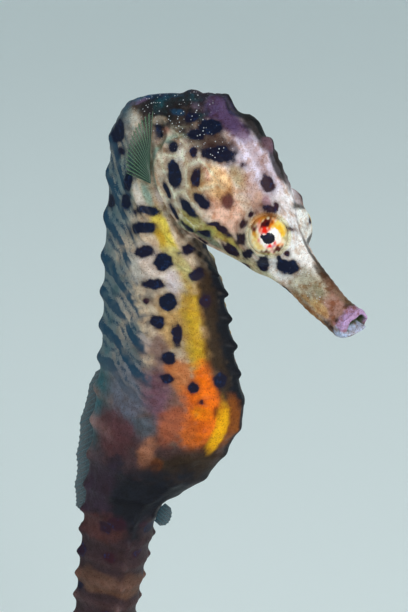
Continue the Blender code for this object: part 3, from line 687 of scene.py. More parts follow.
# %% Ground and head washes
GROUND_WASHES = (  # name, colour, ring place, degrees, half length, half width in degrees, strength
    ("trunk ground", (204, 186, 162), 66, 100, 34, 120, 1.0),
    ("tail ground", (56, 40, 46), 166, 90, 92, 260, 1.0),
    ("belly ground", (122, 96, 86), 84, 90, 10, 120, 1.0),
    ("hip ground", (76, 54, 58), 93, 80, 6.5, 130, 1.0),
    ("head ground", (234, 212, 194), 22, 80, 19, 150, 1.0),
)
HEAD_WASHES = (
    ("forehead lilac", (228, 220, 246), 26, 32, 7, 40, 0.9),
    # snout root and between the eyes: pale skin painted near white, partly its own colour and
    # partly a painted pool of light where the front of the head is lit most
    ("snout root", (250, 252, 255), 13.8, 55, 5.8, 75, 0.95),
    ("between the eyes", (246, 244, 250), 19.5, 12, 3.5, 42, 0.9),
    ("tan over the eye", (204, 146, 100), 22.6, 58, 1.8, 15, 0.5),
    ("cheek rose", (244, 192, 170), 27, 94, 4, 18, 0.75),
    ("cheek ochre", (255, 208, 144), 30, 80, 2.8, 11, 0.75),
    ("cheek olive", (196, 178, 136), 27.8, 66, 1.8, 7, 0.7),
    ("forehead olive", (176, 152, 116), 28.0, 62, 1.5, 8, 0.75),
    ("forehead tan", (206, 162, 130), 25.2, 62, 2.4, 12, 0.6),
    ("spine lilac", (196, 158, 176), 22.3, 50, 0.9, 6, 0.85),
    ("forehead shade", (168, 138, 140), 27.2, 30, 2.6, 9, 0.6),
    ("temple pink", (222, 136, 146), 32.6, 81, 1.3, 5, 0.75),
    ("amber shade", (168, 118, 66), 28.4, 83, 1.4, 7, 0.6),
    ("amber spot", (98, 50, 50), 27.4, 86.5, 1.0, 6.0, 0.95),
    ("gill cover", (198, 186, 166), 36.0, 96, 5.0, 28, 0.85),
    ("gill ochre", (208, 168, 104), 33.0, 92, 1.4, 12, 0.7),
    ("gill white", (226, 222, 216), 36.6, 84, 0.8, 16, 0.7),
    ("jaw yellow", (198, 180, 72), 25.5, 117, 4.6, 8, 0.9),
    ("jaw olive", (176, 172, 92), 31, 124, 5.5, 12, 0.9),
    ("jaw teal", (84, 116, 92), 32, 138, 8, 9, 0.8),
    ("chin", (206, 200, 156), 18.5, 140, 5, 24, 0.8),
    ("crown plum", (112, 84, 116), 31.6, 26, 2.4, 14, 0.9),
    ("crown purple", (90, 70, 110), 33.6, 18, 3.0, 20, 1.0),
    ("crown navy", (44, 48, 84), 33.4, 4, 2.4, 9, 0.85),
    ("crown rear", (44, 40, 62), 37.0, 0, 3.2, 34, 0.95),
    ("crown rim", (150, 132, 162), 36.6, 26, 0.5, 9, 0.7),
    ("temple brown", (72, 50, 44), 33.4, 54, 3.6, 16, 0.95),
    ("crown dark", (58, 48, 42), 37.5, 43, 1.8, 17, 0.9),
    ("nape black", (36, 32, 36), 40.4, 24, 4.4, 34, 1.0),
    ("nape blue", (14, 56, 108), 44.5, 0, 6.0, 22, 0.95),
    ("crown blue", (24, 76, 116), 38.0, 37, 0.8, 4, 0.75),
    ("nape lilac", (124, 98, 132), 43.2, 18, 1.5, 7, 0.7),
    ("nape tan", (176, 124, 108), 39.4, 57, 0.7, 3.5, 0.85),
    ("nape cream", (206, 190, 168), 40.2, 47, 1.0, 4, 0.75),
    ("gill teal", (34, 82, 86), 38.0, 66.5, 0.9, 2.2, 0.8),
    ("snout olive", (160, 154, 132), 8.6, 80, 3.4, 60, 0.9),
    ("snout bridge", (118, 100, 76), 5.5, 4, 6.5, 34, 0.9),
    ("snout crest", (44, 36, 34), 11, 0, 7, 8, 0.8),
    ("snout dark top", (70, 58, 50), 9.2, 16, 2.0, 16, 0.75),
    ("snout red", (136, 106, 90), 5.4, 16, 3.0, 20, 0.7),
    ("snout tan", (170, 128, 74), 7.8, 108, 1.5, 12, 0.7),
    ("snout cream", (214, 210, 190), 9.9, 100, 1.5, 16, 0.6),
    ("snout moss", (126, 116, 84), 7.4, 62, 1.4, 12, 0.6),
    ("snout pink", (172, 130, 118), 3.0, 66, 2.6, 48, 0.9),
    ("snout ochre", (206, 164, 94), 5.2, 98, 1.9, 20, 0.6),
    ("snout under", (174, 132, 80), 6, 158, 6, 36, 0.8),
    ("chin rust", (196, 102, 58), 3.6, 164, 1.2, 16, 0.7),
)
wash = np.tile(paint(70, 54, 54), (len(ring), 1))
wash = lay_washes(wash, GROUND_WASHES + HEAD_WASHES)
print("ground and head washes:", len(GROUND_WASHES) + len(HEAD_WASHES))

# %% [markdown]
# ## Neck, belly and tail
# The back is a cold teal, partly its own colour and partly painted teal shade; the flank is
# cream and tan, and a yellow stripe runs down into an orange belly with a golden edge.  The
# keel is nearly black, partly a dark keel line and partly painted shade, and so is the vent.
# The far side of the forehead and keel is darker than the near one by painted shade, so it has
# a few washes of its own.

# %% Neck and trunk washes
BODY_WASHES = (
    # the neck's teal back is partly its own colour and partly painted teal shade
    ("back of neck", (18, 84, 108), 55, 0, 9, 44, 0.9),
    ("side of neck", (110, 134, 130), 52, 64, 8, 18, 0.85),
    ("neck streak", (224, 216, 202), 43.9, 52, 1.7, 22, 0.95),
    ("behind the gill", (46, 66, 56), 43, 74, 2.6, 14, 0.7),
    ("neck white", (142, 166, 154), 46.4, 95, 2.4, 9, 0.95),
    ("neck pale", (210, 208, 202), 48.8, 86, 1.5, 10, 0.9),
    ("gill edge white", (228, 208, 200), 43.4, 105, 1.1, 8, 0.8),
    ("throat yellow", (222, 200, 76), 50, 117, 5.0, 15, 0.95),
    ("throat mustard", (184, 144, 34), 52, 111, 2.0, 7, 0.85),
    ("fold cream", (204, 200, 140), 56, 128, 4.4, 15, 0.85),
    # the trunk's teal back is partly its own colour and partly painted teal shade
    ("back of trunk", (26, 92, 104), 72, 0, 28, 76, 0.95),
    ("flank pale", (208, 200, 190), 61.6, 80, 2.4, 9, 0.85),
    ("flank blush", (198, 178, 172), 73.0, 89, 1.8, 7, 0.8),
    ("flank cream", (222, 210, 202), 59, 102, 3.4, 20, 0.95),
    ("flank lilac", (214, 206, 214), 60.5, 120, 2.4, 11, 0.85),
    ("flank mustard", (186, 150, 44), 67.5, 134, 9.0, 16, 0.9),
    ("mustard shade", (120, 84, 30), 68, 150, 15, 9, 0.8),
    ("flank gold", (206, 164, 18), 67.5, 136, 6.0, 7, 0.65),
    ("flank tan", (206, 166, 104), 68, 112, 4.6, 12, 0.8),
    ("flank rose", (134, 108, 104), 73.6, 102, 3.6, 9, 0.85),
    ("flank orange", (206, 124, 66), 76, 118, 3.2, 12, 0.85),
    ("grey of flank", (98, 102, 120), 83, 72, 5.0, 24, 0.9),
    ("plum of flank", (110, 76, 94), 81, 97, 4.4, 14, 0.9),
    ("belly orange", (240, 112, 2), 80, 139, 5.8, 18, 1.0),
    ("belly salmon", (172, 92, 60), 85.4, 111, 4.2, 12, 0.85),
    ("belly ember", (208, 102, 24), 86, 128, 3.4, 13, 0.85),
    ("belly amber", (255, 172, 0), 82, 134, 1.5, 8, 0.95),
    ("belly fire", (240, 116, 4), 82, 142, 6.5, 16, 0.8),
    ("belly line", (116, 60, 8), 81.6, 146, 1.5, 3, 0.8),
    ("keel brown", (58, 44, 30), 66, 163, 22, 16, 1.0),
    # the keel's near black is partly a dark keel line and partly painted shade on the underside
    ("keel", (18, 22, 32), 72, 180, 31, 17, 1.0),
    ("blue of belly", (78, 88, 100), 86.6, 90, 2.8, 10, 0.85),
    ("under belly", (50, 37, 24), 93.5, 140, 5.0, 46, 0.95),
    ("belly edge", (146, 80, 20), 84.2, 167, 4.6, 12, 0.85),
    ("belly gold", (238, 174, 4), 84.6, 152.5, 4.4, 7.5, 0.95),
    ("hip peach", (160, 106, 80), 91.2, 97, 3.2, 7, 0.85),
    ("hip rust", (118, 64, 22), 93.2, 108, 1.6, 6, 0.8),
    ("hip brown", (90, 50, 56), 91, 60, 4.2, 24, 0.9),
    ("lower trunk", (24, 26, 36), 101, 115, 7.5, 110, 1.0),
    ("lower back", (54, 38, 54), 102, 50, 7.5, 40, 0.9),
    ("vent rust", (88, 52, 50), 108, 74, 2.6, 44, 0.7),
    ("crest upper", (12, 14, 18), 30.0, 0, 2.8, 17, 0.95),
    ("crest lower", (18, 16, 20), 25.4, 0, 2.2, 11, 0.9),
    ("crest knob", (122, 94, 112), 27.9, 0, 0.9, 12, 0.8),
)
# painted shade: these washes darken the far side of the crest, brow and keel
FAR_SHADE_WASHES = (
    ("far crest shade", (12, 14, 20), 29, 12, 5.5, 16, 0.95),
    ("far brow shade", (40, 28, 28), 24.5, 10, 3.0, 12, 0.8),
    ("far keel shade", (18, 22, 32), 84, 171, 9, 14, 0.95),
)
wash = lay_washes(wash, BODY_WASHES)
wash = lay_washes(wash, FAR_SHADE_WASHES, (side > 0).astype(float))
print("neck and trunk washes:", len(BODY_WASHES) + len(FAR_SHADE_WASHES))

# %% [markdown]
# ## Painted details
# Some colour follows a form and not an oval: teal and pink knobs, pale bands on the tail, the
# rim of the gill cover, eyelids and lips.  A painter would pick these out with a fine brush.
# Here the same functions that raise a form also say where its paint goes, so the two can't
# slip apart.

# %% Painted details
LIP_LILAC, LIP_PALE, LINING = (198, 164, 214), (184, 196, 228), (70, 86, 54)
PALE_RIM, LID_PALE, LID_OCHRE = (176, 206, 188), (224, 222, 196), (198, 134, 60)
KNOB_TEAL, KNOB_PINK, TAIL_BAND = (22, 62, 84), (170, 132, 128), (118, 84, 62)
# the far eye's brilliant white outer lid is a painted highlight, and the dark coats at its edges
# are painted shade in the gaps beside it
FAR_EYE_HIGHLIGHT, FAR_ROSE, FAR_EYE_SHADE = (250, 255, 255), (160, 136, 138), (34, 42, 44)
# radius where the paint ends, radius where it is full, and the least height, in mm
NEAR_LID, FAR_LID, FAR_OUTER = (3.75, 3.45, -1.0), (5.4, 4.9, -2.6), (6.4, 5.6, -2.6)


def tail_bands():
    """Paler bands round the tail, three rings apart, as many seahorses wear."""
    number = ring_number(ring) / 3.0 + 0.06 * broad
    return smooth(0.62, 0.9, 0.5 + 0.5 * np.cos(number * 2 * math.pi)) * smooth(108, 122, ring)


def lid_coats(side):
    """Coats for one eyelid.  Each is a disc round the eye's axis, cut to a part of the clock
    in degrees above the snout; the far eye adds a painted highlight, an outer lid painted
    brilliant white, with painted shade at its dark edges."""
    ahead, above, height = eye_view(skin, side)
    clock = np.degrees(np.arctan2(above, ahead))

    outer, lid, near = (smooth(outside, inside, np.hypot(ahead, above)) * (height > floor)
                        for outside, inside, floor in (FAR_OUTER, FAR_LID, NEAR_LID))
    far = ((FAR_ROSE, 0.7 * outer * window(clock, 50, 60, 86, 100)),
           (FAR_EYE_SHADE, 0.85 * outer * window(clock, 41, 46, 53, 60)),
           (FAR_EYE_SHADE, 0.85 * outer * window(clock, -36, -24, -15, -11)),
           (FAR_EYE_HIGHLIGHT, 0.95 * lid * window(clock, -15, -11, 43, 48)))
    own = (LID_PALE, near), (LID_OCHRE, 0.85 * near * window(clock, 55, 80, 130, 160))
    return (far if side > 0 else ()) + own


gill_edge, gill_way = gill_share(ring, around)
knob = armour(ring, around) * ring_crest(ring) * (0.35 + 0.65 * ridge_line(ring, around))
from_lips = ring + LIP_LEAD
wash = cover(
    wash,
    (TAIL_BAND, 0.6 * tail_bands()),
    (KNOB_TEAL, 0.8 * knob * smooth(60, 35, turn) * smooth(84, 78, ring)),
    (KNOB_PINK, 0.75 * knob * smooth(70, 50, turn) * window(ring, 84, 87, 92, 98)),
    (KNOB_PINK, 0.25 * knob * smooth(108, 122, ring)),
    (PALE_RIM, 0.85 * bell(gill_edge - 1.0, 0.05) * smooth(1.75, 1.2, np.abs(gill_way))),
    *lid_coats(1), *lid_coats(-1),
    (LIP_LILAC, 0.9 * smooth(1.5, -0.3, ring + 0.5 * close)
     * smooth(CORNER + 16, CORNER - 4, turn)),
    (LIP_PALE, smooth(1.2, 0.4, ring) * smooth(CORNER, CORNER + 14, turn)),
    (LINING, smooth(-0.15, -0.35, from_lips)),
    (LIP_PALE, 0.9 * window(from_lips, -0.62, -0.42, -0.2, -0.1) * smooth(112, 136, turn)))
print("details painted; mean colour", wash.mean(axis=0).round(3))

# %% [markdown]
# ## Spots
# The species is known for its dark spots.  Each one is an oval with a place, two half sizes,
# a tilt and a tint between blue-black and purple-brown, and both flanks wear them, the far
# side a little shifted, as no real animal is the same on both sides.

# %% Spot list
SPOTS = {  # name: ring place, degrees, half length, half width (mm), tilt, brownness
    "brow": (24.3, 35, 1.45, 1.05, -12, 0.7), "temple fleck": (28.4, 52, 0.4, 0.4, 0, 0.9),
    "gill a": (31.4, 99, 1.75, 0.95, -5, 0.1), "gill b": (33.6, 112, 2.0, 0.9, -21, 0.0),
    "gill c": (33.3, 86, 0.9, 1.4, 10, 0.35), "gill d": (37.1, 90, 1.4, 2.2, 18, 0.05),
    "gill e": (37.6, 70, 0.9, 0.9, 0, 0.1), "gill f": (34.6, 69, 0.75, 0.85, 0, 0.3),
    "temple": (31.6, 61, 2.6, 1.3, 26, 0.1), "temple low": (35.4, 55, 1.4, 0.95, 10, 0.05),
    "temple top": (34.0, 42, 1.9, 1.3, 24, 0.0),
    "temple end": (36.4, 40, 1.1, 0.9, 17, 0.1), "rear streak": (39.2, 102, 0.55, 1.5, 8, 0.0),
    "low streak": (38.1, 121, 0.55, 1.5, 16, 0.0), "cheek long": (26.3, 111, 2.1, 0.68, 4, 0.5),
    "cheek low": (29.3, 131, 1.1, 0.9, 20, 0.0), "jaw dash": (33.4, 133, 1.3, 0.42, -20, 0.0),
    "jaw corner": (22.5, 131, 1.6, 1.2, 10, 0.4), "jaw rear": (29.5, 150, 1.2, 0.4, 10, 0.2),
    "chin": (18.6, 152, 0.9, 0.6, 0, 0.6), "snout low": (11.2, 150, 0.9, 0.5, 0, 0.5),
    "neck 1": (49.2, 97, 0.72, 1.9, 0, 0.0), "neck 2": (53.7, 91, 0.95, 2.1, 6, 0.0),
    "flank 1": (58.0, 90, 0.95, 1.8, 8, 0.1), "flank 2": (57.4, 109, 1.4, 1.6, 0, 0.0),
    "flank 3": (62.5, 98, 0.9, 1.9, 0, 0.1), "flank 4": (64.2, 112, 1.45, 1.5, 0, 0.0),
    "flank 5": (68.4, 101, 1.15, 1.2, 0, 0.1), "flank 6": (69.4, 118, 1.8, 0.9, 0, 0.2),
    "flank 7": (73.8, 109, 1.05, 1.3, 0, 0.1), "flank 8": (77.4, 107, 0.75, 1.2, 0, 0.2),
    "belly 1": (77.8, 128, 0.95, 1.0, 0, 0.2), "belly 2": (76.2, 155, 1.2, 1.2, 0, 0.1),
    "belly 3": (80.0, 133, 0.45, 0.5, 0, 0.8), "neck ring": (47.4, 38, 1.5, 1.9, -50, 0.0),
    "neck 3": (48.2, 53, 0.7, 0.8, 0, 0.1), "neck 4": (57.6, 38, 1.1, 1.1, 0, 0.0),
    "neck 5": (53.4, 68, 1.4, 0.95, 0, 0.0), "neck 6": (49.6, 71, 1.6, 0.8, 0, 0.0),
    "neck 7": (45.3, 79, 1.1, 0.8, 0, 0.1), "breast": (56.5, 146, 0.9, 1.4, 0, 0.2),
    # the gill opening spot is painted shade: black inside the pit of the pore
    "breast low": (62.0, 152, 1.0, 0.9, 0, 0.5), "gill opening": (40.3, 57, 0.5, 1.25, 0, 0.0),
    "breast top": (48.9, 148, 0.8, 1.4, 0, 0.2), "flank small": (65.6, 93, 0.55, 0.55, 0, 0.7),
}
EYE_SPOTS = {  # name: right of the eye, above it, half width, half height (mm), tilt, brownness
    "ring 1": (-2.50, 3.25, 0.42, 0.66, -42, 0.8), "ring 2": (-3.78, 1.78, 0.46, 0.78, -42, 0.9),
    "ring 3": (-4.15, -0.62, 0.76, 1.02, -20, 0.6), "ring 4": (-3.1, -3.0, 0.74, 0.9, -20, 0.1),
    "ring 5": (-0.62, -4.45, 0.98, 1.25, 15, 0.1), "snout left": (2.45, -4.8, 1.05, 1.2, 10, 0.0),
    "snout joint": (1.75, -3.7, 0.4, 0.6, 30, 0.0), "snout right": (3.7, -5.0, 1.1, 1.15, 0, 0.0),
    "snout small": (2.95, -2.95, 0.5, 0.5, 0, 0.9), "smudge": (3.7, 0.95, 0.5, 0.22, -25, 1.0),
    "under the spine": (0.35, 4.0, 1.15, 0.55, -12, 0.6),
    "beside the spine": (1.3, 4.3, 0.4, 0.65, 20, 1.0),
}
FAR_SIDE_SHIFT, SPOT_SEED = (0.9, 4.0, 0.16), 5
TAIL_SPOTS, NET_CREAM = 70, (228, 232, 208)


def all_spots():
    """Spot list for both flanks and the tail; the far side is shifted at random."""
    draw = np.random.default_rng(SPOT_SEED)
    spots = []
    for at, degrees, length, width, tilt, brown in SPOTS.values():
        spots.append((at, -degrees, length, width, tilt, brown))
        move, swing, grow = draw.normal(0, 1, 3) * FAR_SIDE_SHIFT
        calm = 0.3 if at < 25 else 1.0
        spots.append((at + move * calm, degrees + swing * calm, length * (1 + grow),
                      width * (1 + grow), tilt, brown))
    for _ in range(TAIL_SPOTS):
        at, degrees = draw.uniform(106, 222), draw.uniform(-180, 180)
        size = draw.uniform(0.5, 1.2) * (1 - 0.6 * (at - 105) / 130)
        spots.append((at, degrees, size, size * draw.uniform(1.0, 1.6), 0, draw.uniform(0, 1)))
    return spots


spot_list = all_spots()
print("spots:", len(spot_list), "on the body and", 2 * len(EYE_SPOTS), "round the eyes")

# %% [markdown]
# ## How far each point is from a spot
# Each point of the skin keeps its distance in millimetres from the nearest spot's edge, below
# nought inside.  The finish can then draw a crisp and slightly ragged outline at any size,
# which a colour on the points couldn't.  The second nearest edge is kept too: where two spots
# almost touch, the pale net of the gill cover shows between them.


# %% Spot edges
def oval_edge(x, y, across, above, wide, high, tilt):
    """Rough distance from a tilted oval's edge: how much larger the oval would have to be to
    reach the point, less one, times its smaller half size."""
    c, s = math.cos(math.radians(tilt)), math.sin(math.radians(tilt))
    u, v = (x - across) * c + (y - above) * s, (y - above) * c - (x - across) * s
    return (np.hypot(u / wide, v / high) - 1) * min(wide, high)


def spot_edge_at(at, degrees, length, width, tilt):
    """Edge of an oval in the plane that touches the skin at one place."""
    places = np.array([at, at + 0.4, at, at - 0.4, at])
    angles = np.radians(np.array([degrees, degrees, degrees + 2, degrees, degrees - 2], float))
    p = body_skin(places, angles)
    way, down = p[1] - p[3], (p[2] - p[4]) * np.sign(degrees if degrees else 1)
    out, way = unit(np.cross(way, down)), unit(way)
    away = skin - p[0]
    edge = oval_edge(away @ way, away @ np.cross(out, way), 0.0, 0.0, length, width, tilt)
    return edge + np.maximum(np.abs(away @ out) - 2.0, 0.0)


def eye_spot_edge(side, *oval):
    """Edge of an oval that is measured square on to the eye."""
    ahead, above, height = eye_view(skin, side)
    return oval_edge(ahead, above, *oval) + np.maximum(-5.0 - height, 0.0)


edges = [(spot_edge_at(*spot[:5]), spot[5]) for spot in spot_list]
edges += [(eye_spot_edge(s, *spot[:5]), spot[5]) for s in (1, -1) for spot in EYE_SPOTS.values()]
spot_edge, next_edge = np.full(len(skin), 3.0), np.full(len(skin), 3.0)
spot_brown = np.zeros(len(skin))
for edge, brown in edges:
    spot_brown = np.where(edge < spot_edge, brown, spot_brown)
    next_edge = np.minimum(next_edge, np.maximum(spot_edge, edge))
    spot_edge = np.minimum(spot_edge, edge)
spot_edge += 0.13 * close
net = smooth(0.42, 0.1, next_edge - spot_edge) * smooth(0.15, 0.4, spot_edge)
wash = cover(wash, (NET_CREAM, 0.75 * net * oval_weight(35.8, 98, 6.6, 44)))
print("share of skin under spots:", round(float((spot_edge < 0).mean()), 3))

# %% [markdown]
# ## Stripes, specks and gloss
# Dark bands cross the back, one broad and one weaker to each bony ring, and sweep tailward
# where they run out on the flank.  The last masks say where thin lines, white specks, mottling
# and a wet gloss may show.  A mask is one number per point, so the finish can use it freely.


# %% Stripes and masks
def back_stripes():
    """Height of the bands' waves, and the zone of the back where they show.  Counting rings
    from a little further back on the flank makes them slant."""
    number = ring_number(ring) - 0.65 * smooth(50, 92, turn) + 0.05 * broad
    wave = 0.55 * np.cos(number * 2 * math.pi) + 0.45 * np.cos(number * 4 * math.pi + 0.7 * broad)
    end = 76 + 14 * smooth(62, 75, ring)
    zone = window(ring, 43, 48, 78, 86) * smooth(8, -6, turn - end + 4 * close)
    zone = zone * (0.5 + 0.5 * smooth(-1.1, -0.1, drift(skin, *BACK_WAVES)))
    return 0.5 + 0.5 * wave + 0.08 * close, zone


def ring_lines():
    """Thin dark lines in front of each ring on the lower flank."""
    number = ring_number(ring) + 0.22
    zone = window(ring, 66, 72, 88, 98) * window(turn, 60, 85, 100, 120)
    return 0.6 * bell(number - np.round(number), 0.07) * zone


stripe, stripe_zone = back_stripes()
dark_line = ring_lines()
speck_zone = np.clip(oval_weight(39.0, 30, 4.5, 40) + oval_weight(32.8, 58, 3.6, 13)
                     + 0.8 * oval_weight(8.5, 75, 3.5, 36), 0, 1)
wet = smooth(3.2, 1.0, ring)
clouded = 0.4 + 0.35 * smooth(50, 40, ring) + 0.25 * smooth(14, 10, ring)
print("share of skin with bands:", round(float(stripe_zone.mean()), 3))

# %% [markdown]
# ## Shader helpers
# Materials are built from nodes by code.  Short helpers keep that readable: each places one
# kind of node, fills its inputs and hands back its output, so that a finish can be written
# down like a recipe.


# %% Node helpers
def fill(tree, made, sockets):
    """Fill a node's inputs: link another node's output, or set a plain value."""
    for name, value in sockets.items():
        if isinstance(value, bpy.types.NodeSocket):
            tree.links.new(value, made.inputs[name])
        else:
            made.inputs[name].default_value = value
    return made


def node(tree, kind, sockets, **settings):
    """Place a node, give it its settings and fill its inputs."""
    made = tree.nodes.new("ShaderNode" + kind)
    for name, value in settings.items():
        setattr(made, name, value)
    return fill(tree, made, sockets)


def mix(tree, factor, a, b, way="MIX"):
    """Mix two colours by a factor."""
    a, b = ((*c, 1.0) if isinstance(c, (tuple, np.ndarray)) else c for c in (a, b))
    sockets = {0: factor, 6: a, 7: b}
    return node(tree, "Mix", sockets, data_type="RGBA", blend_type=way).outputs[2]


def tinted(tree, factor, colour, tint):
    """Multiply a colour by a tint where the factor is high."""
    return mix(tree, factor, colour, mix(tree, 1.0, colour, tint, "MULTIPLY"))


def sums(tree, way, *values):
    """Arithmetic on values."""
    return node(tree, "Math", dict(enumerate(values)), operation=way).outputs[0]


def ease(tree, value, low, high, start=0.0, end=1.0):
    """Map a value from one range to another with soft ends."""
    sockets = {"Value": value, "From Min": low, "From Max": high, "To Min": start, "To Max": end}
    return node(tree, "MapRange", sockets, interpolation_type="SMOOTHSTEP").outputs[0]


def read(tree, name, output="Fac"):
    """Value or colour stored on the mesh's points."""
    return node(tree, "Attribute", {}, attribute_name=name).outputs[output]


def bump(tree, height, strength, distance):
    """Outward way tilted by a height; the distance is in metres."""
    sockets = {"Height": height, "Strength": strength, "Distance": distance}
    return node(tree, "Bump", sockets).outputs[0]


def new_material(name):
    """Empty material with its node tree and its Principled shader."""
    made = bpy.data.materials.new(name)
    made.use_nodes = True
    return made, made.node_tree, made.node_tree.nodes["Principled BSDF"]


def new_group(name, inputs, outputs):
    """Node group of masks and numbers; an input without a value of its own is a place."""
    tree = bpy.data.node_groups.new(name, "ShaderNodeTree")
    for label, value in inputs.items():
        kind = "NodeSocketVector" if value is None else "NodeSocketFloat"
        socket = tree.interface.new_socket(label, in_out="INPUT", socket_type=kind)
        if value is not None:
            socket.default_value = value
    for label in outputs:
        tree.interface.new_socket(label, in_out="OUTPUT", socket_type="NodeSocketFloat")
    given = tree.nodes.new("NodeGroupInput")
    return tree, given.outputs, tree.nodes.new("NodeGroupOutput")


print("node kinds ready:", ", ".join(("mix", "tinted", "sums", "ease", "read", "bump")))

# %% [markdown]
# ## Shared effects
# Wet skin, fins and even the eye share one kind of mottling: two sizes of cloudy noise that
# lighten and darken the paint, and a fine grain that catches the light.  Both are node groups,
# so each material uses the same effect at its own scale.


# %% Mottle and grain groups
def mottle_group():
    """Cloudy noise stretched between two levels, and a finer noise of the same kind."""
    tree, given, out = new_group(
        "mottle", {"Vector": None, "Scale": 400.0, "Low": 0.4, "High": 0.6}, ("Mask", "Fine"))
    coarse = node(tree, "TexNoise", {"Vector": given["Vector"], "Scale": given["Scale"],
                                     "Detail": 5.0, "Roughness": 0.6})
    mask = node(tree, "MapRange", {"Value": coarse.outputs["Fac"], "From Min": given["Low"],
                                   "From Max": given["High"]})
    finer = sums(tree, "MULTIPLY", given["Scale"], 3.7)
    fine = node(tree, "TexNoise", {"Vector": given["Vector"], "Scale": finer, "Detail": 3.0,
                                   "Roughness": 0.65})
    fill(tree, out, {"Mask": mask.outputs[0], "Fine": fine.outputs["Fac"]})
    return tree


def grain_group():
    """Pebbled skin height: rounded cells plus fine noise."""
    tree, given, out = new_group(
        "grain", {"Vector": None, "Scale": 2600.0, "Pebbles": 0.5}, ("Height",))
    shared = {"Vector": given["Vector"], "Scale": given["Scale"]}
    cells = node(tree, "TexVoronoi", {**shared, "Randomness": 0.9}, feature="SMOOTH_F1")
    noise = node(tree, "TexNoise", {**shared, "Detail": 4.0})
    round_top = sums(tree, "SUBTRACT", 1.0, cells.outputs["Distance"])
    pebble = sums(tree, "MULTIPLY", round_top, given["Pebbles"])
    fill(tree, out, {"Height": sums(tree, "ADD", pebble, noise.outputs["Fac"])})
    return tree


MOTTLE, GRAIN = mottle_group(), grain_group()


def mottle(tree, where, scale, low, high):
    """Mask and fine noise of the mottle group at one scale, in waves per metre."""
    made = node(tree, "Group", {"Vector": where, "Scale": scale, "Low": low, "High": high},
                node_tree=MOTTLE)
    return made.outputs["Mask"], made.outputs["Fine"]


def grain(tree, where, scale, pebbles):
    """Height of the grain group at one scale."""
    sockets = {"Vector": where, "Scale": scale, "Pebbles": pebbles}
    return node(tree, "Group", sockets, node_tree=GRAIN).outputs["Height"]


def object_place(tree):
    """Place on the piece, in metres."""
    return node(tree, "TexCoord", {}).outputs["Object"]


print("groups:", MOTTLE.name, GRAIN.name)

# %% [markdown]
# ## Skin finish
# The finish is read from the bottom up, as it was painted: washes, cloudy mottling, a net of
# pale lines on the head, dark bands on the back, pale knobs, spots with ragged edges, and white
# specks on the dark crown.  Roughness and bump come last and make it look moist.  A picture
# wrapped round the animal could do the same, but it would blur close up and show its seam.

# %% Skin layers
NAVY, BROWN, SPOT_SHEEN = paint(8, 16, 40), paint(50, 20, 30), paint(22, 48, 92)
TEAL_DARK, PINK_GREY, LINE_DARK = paint(0, 54, 80), paint(142, 140, 140), paint(44, 38, 44)
SPECK_WHITE = paint(214, 218, 226)


def band_layer(tree, colour, ragged):
    """Sloping bands of the back and thin ring lines."""
    zone = read(tree, "stripe_zone")
    wave = sums(tree, "ADD", read(tree, "stripe"), ragged)
    pale = mix(tree, sums(tree, "MULTIPLY", zone, 0.42), colour, PINK_GREY)
    band = sums(tree, "MULTIPLY", ease(tree, wave, 0.31, 0.5), zone)
    colour = mix(tree, sums(tree, "MULTIPLY", band, 0.92), pale, TEAL_DARK)
    return mix(tree, sums(tree, "MULTIPLY", read(tree, "dark_line"), 0.6), colour, LINE_DARK)


def spot_layer(tree, colour, ragged, cloud):
    """Spots: dark where the stored distance, roughened a little, is below nought."""
    edge = sums(tree, "ADD", read(tree, "spot_edge"), sums(tree, "MULTIPLY", ragged, 0.7))
    mask = ease(tree, edge, 0.20, -0.18)
    tint = mix(tree, read(tree, "spot_brown"), NAVY, BROWN)
    sheen = mix(tree, ease(tree, cloud, 0.52, 0.72, 0.0, 0.6), tint, SPOT_SHEEN)
    halo = sums(tree, "MULTIPLY", ease(tree, edge, 0.75, 0.1), 0.30)
    return mix(tree, mask, mix(tree, halo, colour, tint), sheen)


def speck_layer(tree, colour, where):
    """White pin-prick specks strewn over the dark crown and nape."""
    cells = node(tree, "TexVoronoi", {"Vector": where, "Scale": 2500.0, "Randomness": 1.0})
    pick = node(tree, "SeparateColor", {"Color": cells.outputs["Color"]}).outputs[0]
    size = ease(tree, pick, 0.3, 1.0, 0.0, 0.24)
    dot = ease(tree, sums(tree, "SUBTRACT", cells.outputs["Distance"], size), 0.06, -0.04)
    return mix(tree, sums(tree, "MULTIPLY", dot, read(tree, "speck_zone")), colour, SPECK_WHITE)


print("paints for spots and bands:", NAVY.round(3), TEAL_DARK.round(3))

# %% [markdown]
# ## The whole skin finish
# The layers meet on one shader.  A little light passes under the surface, as it does in living
# skin, and the lips are glossier than the back.


